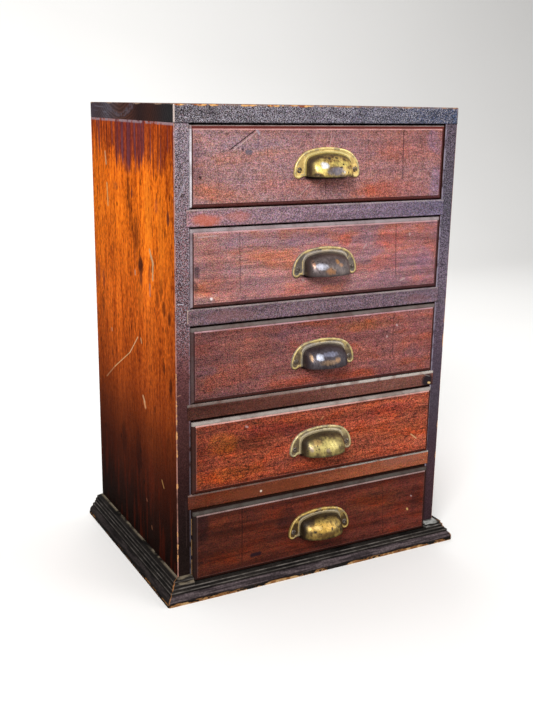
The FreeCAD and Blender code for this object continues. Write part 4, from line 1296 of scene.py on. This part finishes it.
def add_nails(material):
    """Small flat nail heads that hold the back boards to the sides."""
    dice = random.Random(4)
    angles = [math.tau * step / NAIL_SIDES for step in range(NAIL_SIDES)]
    for board in BACK_BOARDS:
        low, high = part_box(f"back_board_{board}")
        mesh = bmesh.new()
        for near_end in (low.x + 4 * MM, high.x - 4 * MM):
            for share in (0.16, 0.5, 0.84):
                x = near_end + dice.uniform(-1, 1) * MM
                z = low.z + (high.z - low.z) * share + dice.uniform(-6, 6) * MM
                rows = []
                sizes = (NAIL_HEAD * 0.8, NAIL_FACE_DEPTH), (NAIL_HEAD, NAIL_RIM_DEPTH)
                for radius, depth in sizes:
                    rim = [(x + math.cos(a) * radius, z + math.sin(a) * radius) for a in angles]
                    row = [mesh.verts.new((across, high.y - depth, up)) for across, up in rim]
                    rows.append(row + row[:1])
                skin_rows(mesh, rows)
                mesh.faces.new(rows[0][-2::-1])
        add_piece(f"back_nails_{board}", mesh, material, "carcase")


BACKS = [f"back_board_{board}" for board in BACK_BOARDS]
RUNNERS = [f"{side}_runner_{rail}" for side in SIDES for rail in RAILS]
DRAWER_SIDES = [f"drawer_{drawer}_{side}_side" for side in SIDES for drawer in DRAWERS]
DRAWER_BACKS = [f"drawer_{drawer}_back" for drawer in DRAWERS]
DRAWER_BOTTOMS = [f"drawer_{drawer}_bottom" for drawer in DRAWERS]
# Bare wood: its boards, the grain's axis, the seed, its colour, its dirt's and the dirt's share.
PLAIN_BOARDS = {
    "back_wood": (BACKS, 0, 60, (140, 100, 62), (74, 50, 34), 0.6),
    "bottom_wood": (["bottom_board"], 0, 61, (136, 98, 62), (78, 54, 38), 0.5),
    "runner_wood": (RUNNERS, 1, 62, (168, 124, 78), (92, 64, 42), 0.5),
    "stop_wood": (["drawer_stops"], 0, 63, (158, 116, 74), (88, 60, 42), 0.5),
    "drawer_side_wood": (DRAWER_SIDES, 1, 64, (186, 142, 92), (108, 74, 48), 0.4),
    "drawer_back_wood": (DRAWER_BACKS, 0, 65, (182, 138, 90), (106, 74, 48), 0.4),
    "drawer_bottom_wood": (DRAWER_BOTTOMS, 0, 66, (176, 134, 86), (96, 66, 44), 0.6),
}


def paint_cabinet():
    """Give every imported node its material."""
    coat_node("top_board", top_material())
    coat_node("left_side", side_material(-1))
    coat_node("right_side", side_material(1))
    for rail in RAILS:
        coat_node(f"drawer_rail_{rail}", rail_material(rail))
    for seed, name in ((50, "plinth_front"), (54, "plinth_left"), (58, "plinth_right")):
        coat_node(name, plinth_material(f"{name}_paint", seed))
    for drawer in DRAWERS:
        coat_node(f"drawer_{drawer}_front", front_material(drawer))
    for name, (boards, *wood) in PLAIN_BOARDS.items():
        material = plain_wood(name, *wood)
        for board in boards:
            coat_node(board, material)


# The camera, from the fit to the photograph's 533 by 711 frame. The angles are in degrees.
CAMERA_PLACE = Vector((-0.5720, -1.0718, 0.5656))
CAMERA_YAW, CAMERA_PITCH, CAMERA_ROLL = 28.149, -14.955, 0.908
FOCAL_PIXELS = 948.83
FRAME_HEIGHT = 711
SENSOR = 36


def add_camera():
    """The camera at the photograph's place and angle."""
    camera = bpy.data.objects.new("camera", bpy.data.cameras.new("camera"))
    bpy.context.scene.collection.objects.link(camera)
    camera.data.sensor_width = SENSOR
    camera.data.lens = SENSOR * FOCAL_PIXELS / FRAME_HEIGHT
    camera.data.clip_start = 0.05
    level = Matrix.Rotation(math.pi / 2, 3, "X")
    yaw = Matrix.Rotation(-math.radians(CAMERA_YAW), 3, "Z")
    pitch = Matrix.Rotation(math.radians(CAMERA_PITCH), 3, "X")
    roll = Matrix.Rotation(math.radians(CAMERA_ROLL), 3, "Z")
    turned = yaw @ pitch @ level @ roll
    camera.matrix_world = Matrix.Translation(CAMERA_PLACE) @ turned.to_4x4()
    bpy.context.scene.camera = camera


def add_lamp(name, place, target, size, power):
    """A soft square lamp that looks at a point."""
    lamp = bpy.data.objects.new(name, bpy.data.lights.new(name, "AREA"))
    lamp.data.size = size
    lamp.data.energy = power
    lamp.location = place
    lamp.rotation_mode = "QUATERNION"
    lamp.rotation_quaternion = (Vector(target) - Vector(place)).to_track_quat("-Z", "Y")
    bpy.context.scene.collection.objects.link(lamp)


def floor_material():
    """A plain pale floor, a little uneven in tone, that throws little light back up."""
    paint = Paint("floor_paint", seed=90)
    pale = paint.mix(paint.noise(1.5), (246, 245, 243), (252, 251, 249))
    seen = paint.out(paint.add("ShaderNodeLightPath"), "Is Camera Ray")
    return paint.finish(paint.mix(seen, (120, 116, 112), pale), 0.95, specular=0)


def add_stage():
    """A floor that curves up into a backdrop behind the cabinet, soft lamps and a pale sky."""
    mesh = bmesh.new()
    near, depth, radius, wall, half_width = -4, 1.6, 1.2, 2.6, 5
    bend = arc((depth, radius), radius, -math.pi / 2, 0, 24)
    profile = [(near, 0), *bend, (depth + radius, radius), (depth + radius, wall)]
    rows = [[mesh.verts.new((x, y, z)) for x in (-half_width, half_width)] for y, z in profile]
    skin_rows(mesh, rows)
    floor = add_mesh("floor", mesh, floor_material())
    floor.data.shade_smooth()

    world = bpy.data.worlds.new("sky")
    bpy.context.scene.world = world
    world.use_nodes = True
    tree = world.node_tree
    sky = tree.nodes["Background"].inputs
    sky["Color"].default_value = (1, 1, 1, 1)
    # The sky lights the cabinet less than it shows behind it.
    seen = tree.nodes.new("ShaderNodeLightPath")
    strength = tree.nodes.new("ShaderNodeMapRange")
    strength.inputs["To Min"].default_value = 0.45
    tree.links.new(seen.outputs["Is Camera Ray"], strength.inputs["Value"])
    tree.links.new(strength.outputs["Result"], sky["Strength"])
    add_lamp("key", (-1.5, -1.9, 1.9), (0, 0, 0.35), 1, 66)
    add_lamp("fill", (1.9, -1.6, 1.3), (0, 0, 0.3), 1.6, 18)
    add_lamp("rim", (0.5, 1.6, 2), (0, 0, 0.3), 1.2, 12)
    add_lamp("backdrop", (0, 0.7, 2.6), (0, 2.8, 1.2), 2, 40)


bpy.context.scene.view_settings.view_transform = "Standard"
paint_cabinet()
steel = steel_material()
add_pulls()
add_screws(steel)
add_nails(steel)
add_camera()
add_stage()
